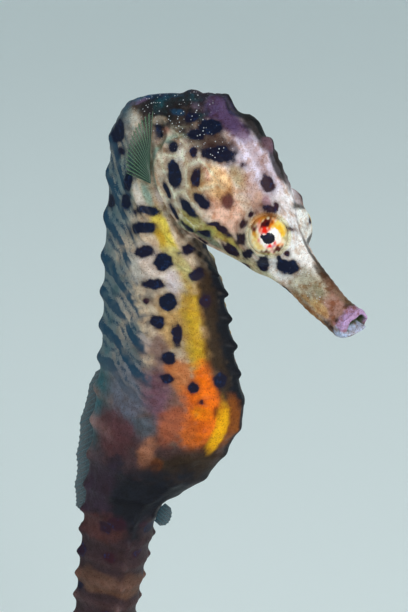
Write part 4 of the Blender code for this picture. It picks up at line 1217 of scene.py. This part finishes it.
# %% Skin material
def skin_material():
    """Paint layers of the skin on one Principled shader, then its roughness and bump."""
    made, tree, shader = new_material("seahorse skin")
    where = object_place(tree)
    cloud, cloud_fine = mottle(tree, where, 320.0, 0.38, 0.62)
    patch, _ = mottle(tree, where, 800.0, 0.46, 0.64)
    small, fine = mottle(tree, where, 1500.0, 0.42, 0.6)
    patch = sums(tree, "MULTIPLY", patch, read(tree, "clouded"))
    colour = read(tree, "wash", "Color")
    for amount, tint in ((sums(tree, "MULTIPLY", cloud, 0.45), paint(184, 160, 140)),
                         (patch, paint(204, 170, 142)),
                         (sums(tree, "MULTIPLY", small, 0.5), (1.4, 1.36, 1.34)),
                         (ease(tree, fine, 0.54, 0.66, 0.0, 0.8), paint(150, 118, 100))):
        colour = tinted(tree, amount, colour, tint)
    ragged = sums(tree, "MULTIPLY_ADD", fine, 0.9, -0.45)
    colour = band_layer(tree, colour, ragged)
    colour = spot_layer(tree, colour, ragged, cloud_fine)
    rough = ease(tree, fine, 0.3, 0.7, 0.5, 0.68)
    fill(tree, shader, {
        "Base Color": speck_layer(tree, colour, where),
        "Roughness": sums(tree, "SUBTRACT", rough,
                          sums(tree, "MULTIPLY", read(tree, "wet"), 0.16)),
        "Normal": bump(tree, grain(tree, where, 2400.0, 0.6), 0.35, 0.00012),
        "Coat Weight": 0.03, "Coat Roughness": 0.2, "Specular IOR Level": 0.14,
        "Subsurface Weight": 0.06, "Subsurface Radius": (0.0012, 0.0006, 0.0004),
        "Subsurface Scale": 1.0})
    return made


skin_finish = skin_material()
print("skin finish has", len(skin_finish.node_tree.nodes), "nodes")

# %% [markdown]
# ## The skin as one piece
# The real animal has one skin from lips to tail tip, so the model has one mesh in place of all
# the flesh solids.  Its grid is open at the mouth's lining and at the tail tip.  A fan of
# triangles round a middle point closes each end, and every point keeps its paint values.


# %% Skin piece
def mesh_piece(name, points, face_lists, material):
    """Closed mesh object from points in mm measured from the vent, smooth shaded."""
    mesh = bpy.data.meshes.new(name)
    faces = [face for faces in face_lists for face in np.asarray(faces).tolist()]
    mesh.from_pydata(((points + VENT) * MM).tolist(), [], faces)
    mesh.polygons.foreach_set("use_smooth", np.ones(len(mesh.polygons), bool))
    mesh.materials.append(material)
    thing = bpy.data.objects.new(name, mesh)
    bpy.context.collection.objects.link(thing)
    return thing


def store(thing, name, values):
    """Keep one value, or one colour, for each point of a mesh."""
    values = np.asarray(values, np.float32)
    kind, key = "FLOAT", "value"
    if values.ndim == 2:
        kind, key = "FLOAT_COLOR", "color"
        values = np.column_stack([values, np.ones(len(values), np.float32)])
    thing.data.attributes.new(name, kind, "POINT").data.foreach_set(key, values.ravel())


def closed_tube(name, points, columns, face_lists, material, values):
    """Tube closed by a fan round the middle of its first and of its last row, which differ in
    their number of columns.  The middle points take the values of the end rows."""
    rows = np.arange(columns[0]), np.arange(len(points) - columns[1], len(points))
    hubs = [np.full(len(row), len(points) + number) for number, row in enumerate(rows)]
    fans = np.concatenate([np.stack([hubs[0], np.roll(rows[0], -1), rows[0]], 1),
                           np.stack([hubs[1], rows[1], np.roll(rows[1], -1)], 1)])
    if face_lists[0][0, 0] > face_lists[0][0, 3]:
        fans = fans[:, ::-1]
    ends = [points[row].mean(axis=0) for row in rows]
    thing = mesh_piece(name, np.vstack([points, ends]), (*face_lists, fans), material)
    for key, value in values.items():
        store(thing, key, np.concatenate([value, value[:1], value[-1:]]))
    return thing


FLESH = ["snout", "lower_jaw", "head", "coronet", "gill_cover_left", "gill_cover_right", "neck",
         "trunk_upper", "trunk_middle", "trunk_lower"] + [f"tail_{n}" for n in range(1, 9)]
stored = {"wash": wash, "spot_edge": spot_edge, "spot_brown": spot_brown, "stripe": stripe,
          "stripe_zone": stripe_zone, "dark_line": dark_line, "speck_zone": speck_zone,
          "wet": wet, "clouded": clouded}
skin_piece = closed_tube("skin", skin, (HEAD_COLUMNS, HEAD_COLUMNS // 4), (quads, tris),
                         skin_finish, stored)
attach(skin_piece, "root")
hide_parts(*FLESH)
print("skin piece:", len(skin_piece.data.polygons), "faces, stands for", len(FLESH), "nodes")

# %% [markdown]
# ## Eyes
# Each eye is a ball with a flat iris sunk a little behind a clear dome.  The iris has a small
# blue-black pupil with a notch, a white ring, a yellow outer ring and red and maroon patches.
# They are painted with the same distances as the spots, on a grid that runs out from the
# middle of the iris, so the rings come out round.

# %% Iris marks
IRIS = (  # name, colour, right, above, half width, half height (mm), tilt, softness
    ("olive line", (182, 176, 84), -0.3, -2.85, 1.6, 0.14, 0, 0.8),
    ("ochre arc", (204, 136, 44), -1.2, 2.45, 1.7, 0.5, 34, 0.7),
    ("brown arc", (150, 108, 52), 0.6, 2.85, 1.0, 0.3, -12, 0.8),
    ("tan arc", (186, 158, 92), 2.75, 0.6, 0.22, 0.9, 14, 0.9),
    ("yellow", (250, 224, 118), 1.5, 0.95, 1.2, 1.3, 35, 0.6),
    ("yellow left", (248, 212, 120), -2.0, 0.0, 0.5, 1.3, 0, 0.8),
    ("yellow low", (250, 220, 140), -1.4, -1.6, 0.7, 0.6, -40, 0.9),
    ("gold", (250, 188, 14), 1.62, 1.15, 0.62, 0.46, -20, 0.7),
    ("gold low", (248, 196, 40), 2.1, 0.3, 0.4, 0.5, 0, 0.9),
    ("white", (255, 255, 252), 0.25, -0.35, 1.75, 1.6, 0, 0.35),
    ("white left", (250, 240, 236), -1.6, 1.05, 0.2, 0.55, 0, 0.8),
    ("coral", (240, 96, 70), -1.2, 1.15, 0.26, 0.9, 12, 0.8),
    ("orange above", (240, 132, 8), 0.35, 1.7, 0.45, 1.0, -35, 0.8),
    ("maroon above", (104, 14, 8), -0.34, 1.82, 1.0, 0.58, 38, 0.45),
    ("black above", (40, 4, 20), -0.3, 1.75, 0.6, 0.28, 38, 0.9),
    ("red above", (250, 34, 4), -0.55, 0.78, 0.6, 0.52, 22, 0.6),
    ("maroon left", (96, 26, 6), -2.14, 1.0, 0.34, 0.84, 4, 0.5),
    ("gold left", (236, 160, 20), -2.1, 0.2, 0.25, 0.25, 0, 0.9),
    ("red dot", (240, 92, 40), -1.36, -0.77, 0.14, 0.28, 20, 0.7),
    ("orange right", (240, 120, 10), 1.6, -1.5, 0.62, 0.26, 14, 0.7),
    ("red below", (250, 20, 10), 0.22, -1.65, 0.46, 0.32, 0, 0.6),
    ("red spur", (240, 30, 10), 0.92, -1.2, 0.2, 0.42, 10, 0.7),
    ("violet dot", (196, 168, 190), 0.9, -1.64, 0.2, 0.2, 0, 0.6),
    ("rose below", (246, 190, 180), 0.62, -2.4, 0.4, 0.3, -40, 0.8),
    ("maroon right", (80, 14, 8), 1.5, -2.08, 0.72, 0.42, 26, 0.5),
    ("maroon below", (92, 30, 12), -0.36, -2.52, 0.66, 0.26, 0, 0.6),
    ("olive dot", (150, 140, 30), 2.48, -0.42, 0.16, 0.16, 0, 0.8),
)
PUPIL = ((0.05, -0.42, 0.98, 0.88, 8), (-0.82, -0.22, 0.34, 0.44, 30))
NOTCH = (-0.60, 0.32, 0.3, 0.24, 15)
IRIS_GROUND, IRIS_RIM = (250, 238, 206), (222, 224, 200)


def iris_paint(x, y, radius):
    """Cream ground and pale rim, then every patch of the iris laid over it in order."""
    wander = 0.07 * np.sin(7 * x + 3 * y) + 0.06 * np.sin(5 * y - 9 * x + 1.0)
    return cover(np.tile(paint(*IRIS_GROUND), (len(x), 1)),
                 (IRIS_RIM, smooth(2.45, 2.95, radius)),
                 *((tint, smooth(soft * 0.45, -soft * 0.45, oval_edge(x, y, *oval) + wander))
                   for _, tint, *oval, soft in IRIS))


def pupil_edge(x, y):
    """Distance from the pupil's edge: two joined ovals less the notch."""
    joined = np.minimum(*(oval_edge(x, y, *oval) for oval in PUPIL))
    return np.maximum(joined, -oval_edge(x, y, *NOTCH))


print("iris patches:", len(IRIS))

# %% [markdown]
# ## Eye material
# A real iris glitters a little under a clear cornea.  A separate glass dome would need light
# to bend twice, so a thin clear coat on the painted ball gives the same wet highlight.


# %% Eye material
def eye_material():
    """Painted iris with fine grain and a dark pupil under a clear coat."""
    made, tree, shader = new_material("seahorse eye")
    where = object_place(tree)
    cloud, fine = mottle(tree, where, 1400.0, 0.4, 0.62)
    colour = tinted(tree, sums(tree, "MULTIPLY", cloud, 0.4), read(tree, "iris", "Color"),
                    paint(232, 176, 120))
    edge = sums(tree, "ADD", read(tree, "pupil"), ease(tree, fine, 0.3, 0.7, -0.06, 0.06))
    dark = mix(tree, cloud, paint(4, 4, 18), paint(20, 14, 48))
    fill(tree, shader, {
        "Base Color": mix(tree, ease(tree, edge, 0.05, -0.06), colour, dark),
        "Normal": bump(tree, grain(tree, where, 1800.0, 0.3), 0.2, 0.00008),
        "Roughness": 0.45, "Specular IOR Level": 0.2, "Coat Weight": 0.2,
        "Coat Roughness": 0.04})
    return made


eye_finish = eye_material()
print("eye finish has", len(eye_finish.node_tree.nodes), "nodes")

# %% [markdown]
# ## Eyeballs
# The ball is turned like a bead: one profile of distance against angle from the axis, carried
# round it.  Its front dips a little for the iris and rises again for the lens.

# %% Eyeballs
EYE_ROWS, EYE_COLUMNS, EYE_POLES = 180, 192, (0.012, 0.03)
IRIS_DISH, LENS_RISE, BEHIND = 0.10, 0.16, 9.0


def eye_profile(off):
    """Distance from the eye's centre at an angle from its axis: a shallow dish for the iris
    and a low dome for the lens in the pupil."""
    r = EYE_RADIUS * np.sin(off)
    relief = LENS_RISE * smooth(1.15, 0.3, r) - IRIS_DISH * smooth(2.75, 2.3, r)
    return EYE_RADIUS + relief * (off < math.pi / 2)


def build_eye(name, side):
    """Ball of rows round the eye's axis with its paint stored on it."""
    look, ahead, up = eye_axes(side)
    off, clock = grid(np.linspace(EYE_POLES[0], math.pi - EYE_POLES[1], EYE_ROWS),
                      circle(EYE_COLUMNS))
    reach = eye_profile(off)
    x, y = reach * np.sin(off) * np.cos(clock), reach * np.sin(off) * np.sin(clock)
    points = (EYE * (1, side, 1) + x[:, None] * ahead + y[:, None] * up
              + (reach * np.cos(off))[:, None] * look)
    faces = grid_faces(0, EYE_ROWS, EYE_COLUMNS)
    if np.linalg.det(np.stack([ahead, up, look])) > 0:
        faces = faces[:, ::-1]
    radius = np.where(off < math.pi / 2, np.hypot(x, y), EYE_RADIUS)
    stored = {"iris": iris_paint(x, y, radius),
              "pupil": pupil_edge(x, y) + BEHIND * (off > math.pi / 2)}
    return closed_tube(name, points, (EYE_COLUMNS, EYE_COLUMNS), (faces,), eye_finish, stored)


for name, side_sign in (("left", 1), ("right", -1)):
    ball = build_eye("eyeball_" + name, side_sign)
    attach(ball, "root")
    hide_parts("eye_" + name)
print("eyes made, radius", EYE_RADIUS, "mm")

# %% [markdown]
# ## Fins
# Seahorse fins are thin webs held by soft rays.  A single sheet would have no thickness, so
# each fin is a closed shell: two faces a hair apart, thicker along every ray, that meet at the
# rim.  The free edge is scalloped a little between the rays.

# %% Fin shell
WEB, RAY = 0.07, 0.17
RAY_STEPS, FIN_STEPS, EDGE_HALF, SCALLOP = 8, 22, 0.008, 0.05


def shell_faces(rows, columns):
    """Quads of two facing grids and the strip that joins their rims."""
    index = np.arange(rows * columns).reshape(rows, columns)
    top = np.stack([index[:-1, :-1], index[1:, :-1], index[1:, 1:], index[:-1, 1:]], -1)
    top = top.reshape(-1, 4)
    loop = np.concatenate([index[:, 0], index[-1, 1:], index[-2::-1, -1], index[0, -2:0:-1]])
    after, back = np.roll(loop, -1), rows * columns
    rim = np.stack([loop, loop + back, after + back, after], 1)
    return np.concatenate([top, top[:, ::-1] + back, rim])


def fin_shell(name, lines, rays, material, wave=0.0):
    """Closed shell between a root line and a tip line; thickness and edge follow the rays."""
    count = (rays - 1) * RAY_STEPS + 1
    t, h = grid(np.linspace(0, 1, count), np.linspace(0, 1, FIN_STEPS))
    ray = np.abs(np.cos(math.pi * (rays - 1) * t)) ** 6
    middle = between(lines(t), (h * (1 - SCALLOP * (1 - ray) * h))[:, None])
    along, up = np.gradient(middle.reshape(count, FIN_STEPS, 3), axis=(0, 1))
    normal = unit(np.cross(along, up).reshape(-1, 3))
    middle += normal * (wave * np.sin(t * 9.0 + h * 2.0) * h)[:, None]
    half = between((WEB, RAY), ray) * (1 - 0.6 * h) * (h < 1) * 0.5 + EDGE_HALF
    thick = normal * half[:, None]
    points = np.vstack([middle + thick, middle - thick])
    thing = mesh_piece(name, points, (shell_faces(count, FIN_STEPS),), material)
    store(thing, "fin_ray", np.tile(ray, 2))
    store(thing, "fin_reach", np.tile(h, 2))
    return thing


print("web", WEB, "mm thick, rays", RAY, "mm")

# %% [markdown]
# ## Fin outlines
# A fin's outline is given by where its rays begin and where they end.  The dorsal and anal
# fins stand on the body and their rays lean back.  A breast fin opens like a hand fan behind
# the gill cover.  Two lines each are enough, because the shell fills what lies between.

# %% Fin outlines
DORSAL_SPAN, DORSAL_HEIGHT, DORSAL_RAYS = (84.0, 108.0), 4.4, 27
ANAL_SPAN, ANAL_HEIGHT, ANAL_RAYS = (103.4, 106.6), 2.6, 7
DORSAL_SEAT, ANAL_SEAT, PECTORAL_RAYS = 0.05, 0.3, 16
PECTORAL_TOP, PECTORAL_LOW = np.array((9.1, 5.85, 61.6)), np.array((9.3, 5.85, 57.6))
PECTORAL_ANGLES = (math.radians(82.0), math.radians(160.0))
PECTORAL_LENGTHS, PECTORAL_FLARE = (7.8, 4.4), 0.12


def sail(span, height, degrees, sweep, seat):
    """Root and tip lines of an upright fin on the back or belly line, swept tailward."""
    def lines(t):
        """Root and tip at each share of the way from the first ray to the last."""
        at = between(span, t)
        angle = np.full_like(at, math.radians(degrees))
        root = body_skin(at, angle, np.full_like(at, seat))
        _, out = section(at, angle)
        way = section(at + 0.5, angle)[0] - section(at - 0.5, angle)[0]
        way = unit(way - out * np.sum(way * out, axis=1, keepdims=True))
        rise = height * np.sin(math.pi * (0.08 + 0.84 * t)) ** 0.5
        return root, root + (out * math.cos(sweep) + way * math.sin(sweep)) * rise[:, None]

    return lines


def fan(side):
    """Root and tip lines of a breast fin, its rays spread like a hand fan."""
    def lines(t):
        """Root and tip at each share of the way from the top ray to the lowest."""
        root = between((PECTORAL_TOP, PECTORAL_LOW), t[:, None]) * (1, side, 1)
        angle = between(PECTORAL_ANGLES, t)
        way = np.stack([np.cos(angle), np.full_like(t, side * PECTORAL_FLARE), np.sin(angle)], 1)
        return root, root + way * between(PECTORAL_LENGTHS, t)[:, None]

    return lines


print("fin rays:", DORSAL_RAYS, "dorsal,", ANAL_RAYS, "anal,", PECTORAL_RAYS, "breast")

# %% [markdown]
# ## Fin finish
# Light passes through a fin's web and is stopped by its rays.  Making the web partly clear,
# most of all towards its edge, and keeping the rays nearly solid gives that look without a
# second piece for every ray.  The breast fin is greener and clearer than the dorsal fin.


# %% Fin material
def fin_material(name, web, ray_tint, clear):
    """Thin web, darker at the root and clear towards the edge, with paler rays."""
    made, tree, shader = new_material(name)
    cloud, _ = mottle(tree, object_place(tree), 700.0, 0.4, 0.62)
    ray = read(tree, "fin_ray")
    colour = mix(tree, sums(tree, "MULTIPLY", cloud, 0.5), paint(*web), WEB_SHADE)
    fill(tree, shader, {
        "Base Color": mix(tree, ease(tree, ray, 0.3, 0.9), colour, paint(*ray_tint)),
        "Alpha": sums(tree, "MAXIMUM", ease(tree, ray, 0.2, 0.8, 0.0, 0.8),
                      ease(tree, read(tree, "fin_reach"), 0.1, 1.0, 0.9, clear)),
        "Roughness": 0.28, "Coat Weight": 0.3})
    return made


WEB_SHADE = paint(24, 44, 52)
dorsal_finish = fin_material("dorsal fin", (14, 52, 68), (36, 78, 90), 0.7)
pectoral_finish = fin_material("breast fin", (10, 44, 34), (88, 124, 92), 0.3)
dorsal = fin_shell("dorsal_fin_web", sail(DORSAL_SPAN, DORSAL_HEIGHT, 0.0, 0.6, DORSAL_SEAT),
                   DORSAL_RAYS, dorsal_finish, wave=0.22)
anal = fin_shell("anal_fin_web", sail(ANAL_SPAN, ANAL_HEIGHT, 180.0, 0.5, ANAL_SEAT),
                 ANAL_RAYS, dorsal_finish)
fins = {"dorsal_fin": dorsal, "anal_fin": anal}
for name, side_sign in (("left", 1), ("right", -1)):
    fins["pectoral_fin_" + name] = fin_shell("pectoral_web_" + name, fan(side_sign),
                                             PECTORAL_RAYS, pectoral_finish, wave=0.15)
for node_name, piece in fins.items():
    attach(piece, "root")
    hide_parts(node_name)
print("fins:", {name: len(piece.data.polygons) for name, piece in fins.items()})

# %% [markdown]
# ## Stand
# The base is turned walnut under a thin satin oil, and the two rods are brushed steel.  Their
# solids already have the right shape, so they stay and only their material slots change.  The
# grain is noise stretched along the board, and brushing is noise stretched round the rod.


# %% Stand materials
BOARD_TURN = (0.05, 0.08, 0.4)


def stretched(tree, scale, turn=(0.0, 0.0, 0.0)):
    """Place on the piece, turned and stretched so that a pattern runs along one way."""
    sockets = {"Vector": object_place(tree), "Scale": scale, "Rotation": turn}
    return node(tree, "Mapping", sockets).outputs[0]


def walnut():
    """Long dark grain lines and pores in warm brown wood."""
    made, tree, shader = new_material("walnut")
    bent, streak = mottle(tree, stretched(tree, (1.0, 9.0, 9.0), BOARD_TURN), 22.0, 0.3, 0.7)
    pores, fine = mottle(tree, stretched(tree, (1.0, 26.0, 26.0), BOARD_TURN), 90.0, 0.58, 0.68)
    colour = mix(tree, bent, paint(62, 38, 24), paint(124, 82, 52))
    colour = mix(tree, ease(tree, streak, 0.35, 0.65, 0.0, 0.5), colour, paint(44, 27, 18))
    fill(tree, shader, {
        "Base Color": mix(tree, sums(tree, "MULTIPLY", pores, 0.7), colour, paint(30, 18, 12)),
        "Roughness": ease(tree, fine, 0.3, 0.7, 0.45, 0.6),
        "Normal": bump(tree, fine, 0.15, 0.0002),
        "Specular IOR Level": 0.25, "Coat Weight": 0.08, "Coat Roughness": 0.3})
    return made


def steel():
    """Brushed steel: fine rings round the rod in colour, roughness and height."""
    made, tree, shader = new_material("brushed steel")
    brush, fine = mottle(tree, stretched(tree, (1.0, 1.0, 40.0)), 160.0, 0.35, 0.65)
    fill(tree, shader, {
        "Base Color": mix(tree, brush, paint(172, 174, 178), paint(206, 207, 210)),
        "Metallic": 1.0, "Roughness": ease(tree, fine, 0.3, 0.7, 0.22, 0.38),
        "Normal": bump(tree, fine, 0.1, 0.0001)})
    return made


wood, metal = walnut(), steel()
for node_name, finish in (("stand_base", wood), ("stand_rod_front", metal),
                          ("stand_rod_back", metal)):
    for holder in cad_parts[node_name].material_slots:
        holder.material = finish

# %% [markdown]
# ## Stage and light
# A pale bowl makes floor and backdrop in one, so that no edge shows from any side.  One large
# soft lamp from the front right, a weaker one from the left and a soft top light show
# the knobs without hard shadows.


# %% Stage
BOWL_COLUMNS, BEND_ROWS, FLOOR_RADIUS, BEND_RADIUS, WALL_TOP = 96, 12, 1.8, 0.9, 3.2
FLOOR_DROP = 0.0002  # metres below the base, so that the two faces don't fight


def bowl():
    """Floor and wall in one: a profile turned about the upright axis."""
    bend = np.linspace(0, math.pi / 2, BEND_ROWS)
    radius = np.concatenate([[0.01, 0.6], FLOOR_RADIUS + BEND_RADIUS * np.sin(bend),
                             [FLOOR_RADIUS + BEND_RADIUS]])
    height = np.concatenate([[0.0, 0.0], BEND_RADIUS * (1 - np.cos(bend)), [WALL_TOP]])
    r, angle = grid(radius, circle(BOWL_COLUMNS))
    points = np.stack([r * np.cos(angle), r * np.sin(angle), height.repeat(BOWL_COLUMNS)], 1)
    faces = grid_faces(0, len(radius), BOWL_COLUMNS)[:, ::-1]
    hub = np.arange(BOWL_COLUMNS)
    fans = np.stack([np.full(BOWL_COLUMNS, len(points)), hub, np.roll(hub, -1)], 1)
    points = np.vstack([points, [[0.0, 0.0, 0.0]]]) - (0.0, 0.0, FLOOR_DROP)
    made, tree, shader = new_material("stage")
    fill(tree, shader, {"Base Color": (*paint(216, 226, 227), 1.0), "Roughness": 0.9,
                        "Emission Color": (*paint(222, 234, 236), 1.0),
                        "Emission Strength": 0.24})
    return mesh_piece("stage_bowl", points / MM - VENT, (faces, fans), made)


def aim(thing, place, target):
    """Put a lamp or camera at a place and turn it to a target."""
    bpy.context.collection.objects.link(thing)
    thing.location = place
    way = Vector(target) - Vector(place)
    thing.rotation_euler = way.to_track_quat("-Z", "Y").to_euler()


def lamp(name, place, size, power, tint):
    """Square soft lamp aimed at the head."""
    data = bpy.data.lights.new(name, "AREA")
    data.size, data.energy, data.color = size, power, tint
    aim(bpy.data.objects.new(name, data), place, TARGET)


bowl()
TARGET = (VENT + (15.58, 0.0, 37.26)) * MM
lamp("key", (0.62, -0.42, 0.50), 0.40, 4.4, (1.0, 0.98, 0.95))
lamp("fill", (-0.75, -0.55, 0.35), 0.8, 1.0, (0.94, 0.98, 1.0))
lamp("top", (-0.1, 0.35, 0.95), 0.7, 1.0, (1.0, 1.0, 1.0))
world = bpy.data.worlds.new("studio")
world.use_nodes = True
fill(world.node_tree, world.node_tree.nodes["Background"],
     {"Color": (0.85, 0.9, 0.92, 1.0), "Strength": 0.12})
bpy.context.scene.world = world
bpy.context.scene.view_settings.view_transform = "Standard"

# %% [markdown]
# ## Camera
# A long lens from a third of a metre flattens the head only a little and keeps the curve of
# the neck true.  The view is given as an angle round the animal and an angle above it, because
# these can be read off a turntable.

# %% Camera
AZIMUTH, ELEVATION, DISTANCE, LENS = math.radians(28.0), math.radians(14.5), 0.330, 121.2
camera = bpy.data.objects.new("camera", bpy.data.cameras.new("camera"))
camera.data.lens, camera.data.clip_start = LENS, 0.01
toward = np.array((math.sin(AZIMUTH) * math.cos(ELEVATION),
                   -math.cos(AZIMUTH) * math.cos(ELEVATION), math.sin(ELEVATION)))
aim(camera, TARGET + toward * DISTANCE, TARGET)
bpy.context.scene.camera = camera
print("camera", round(DISTANCE * 1000), "mm from the head, height",
      round(float(camera.location.z) * 1000), "mm")
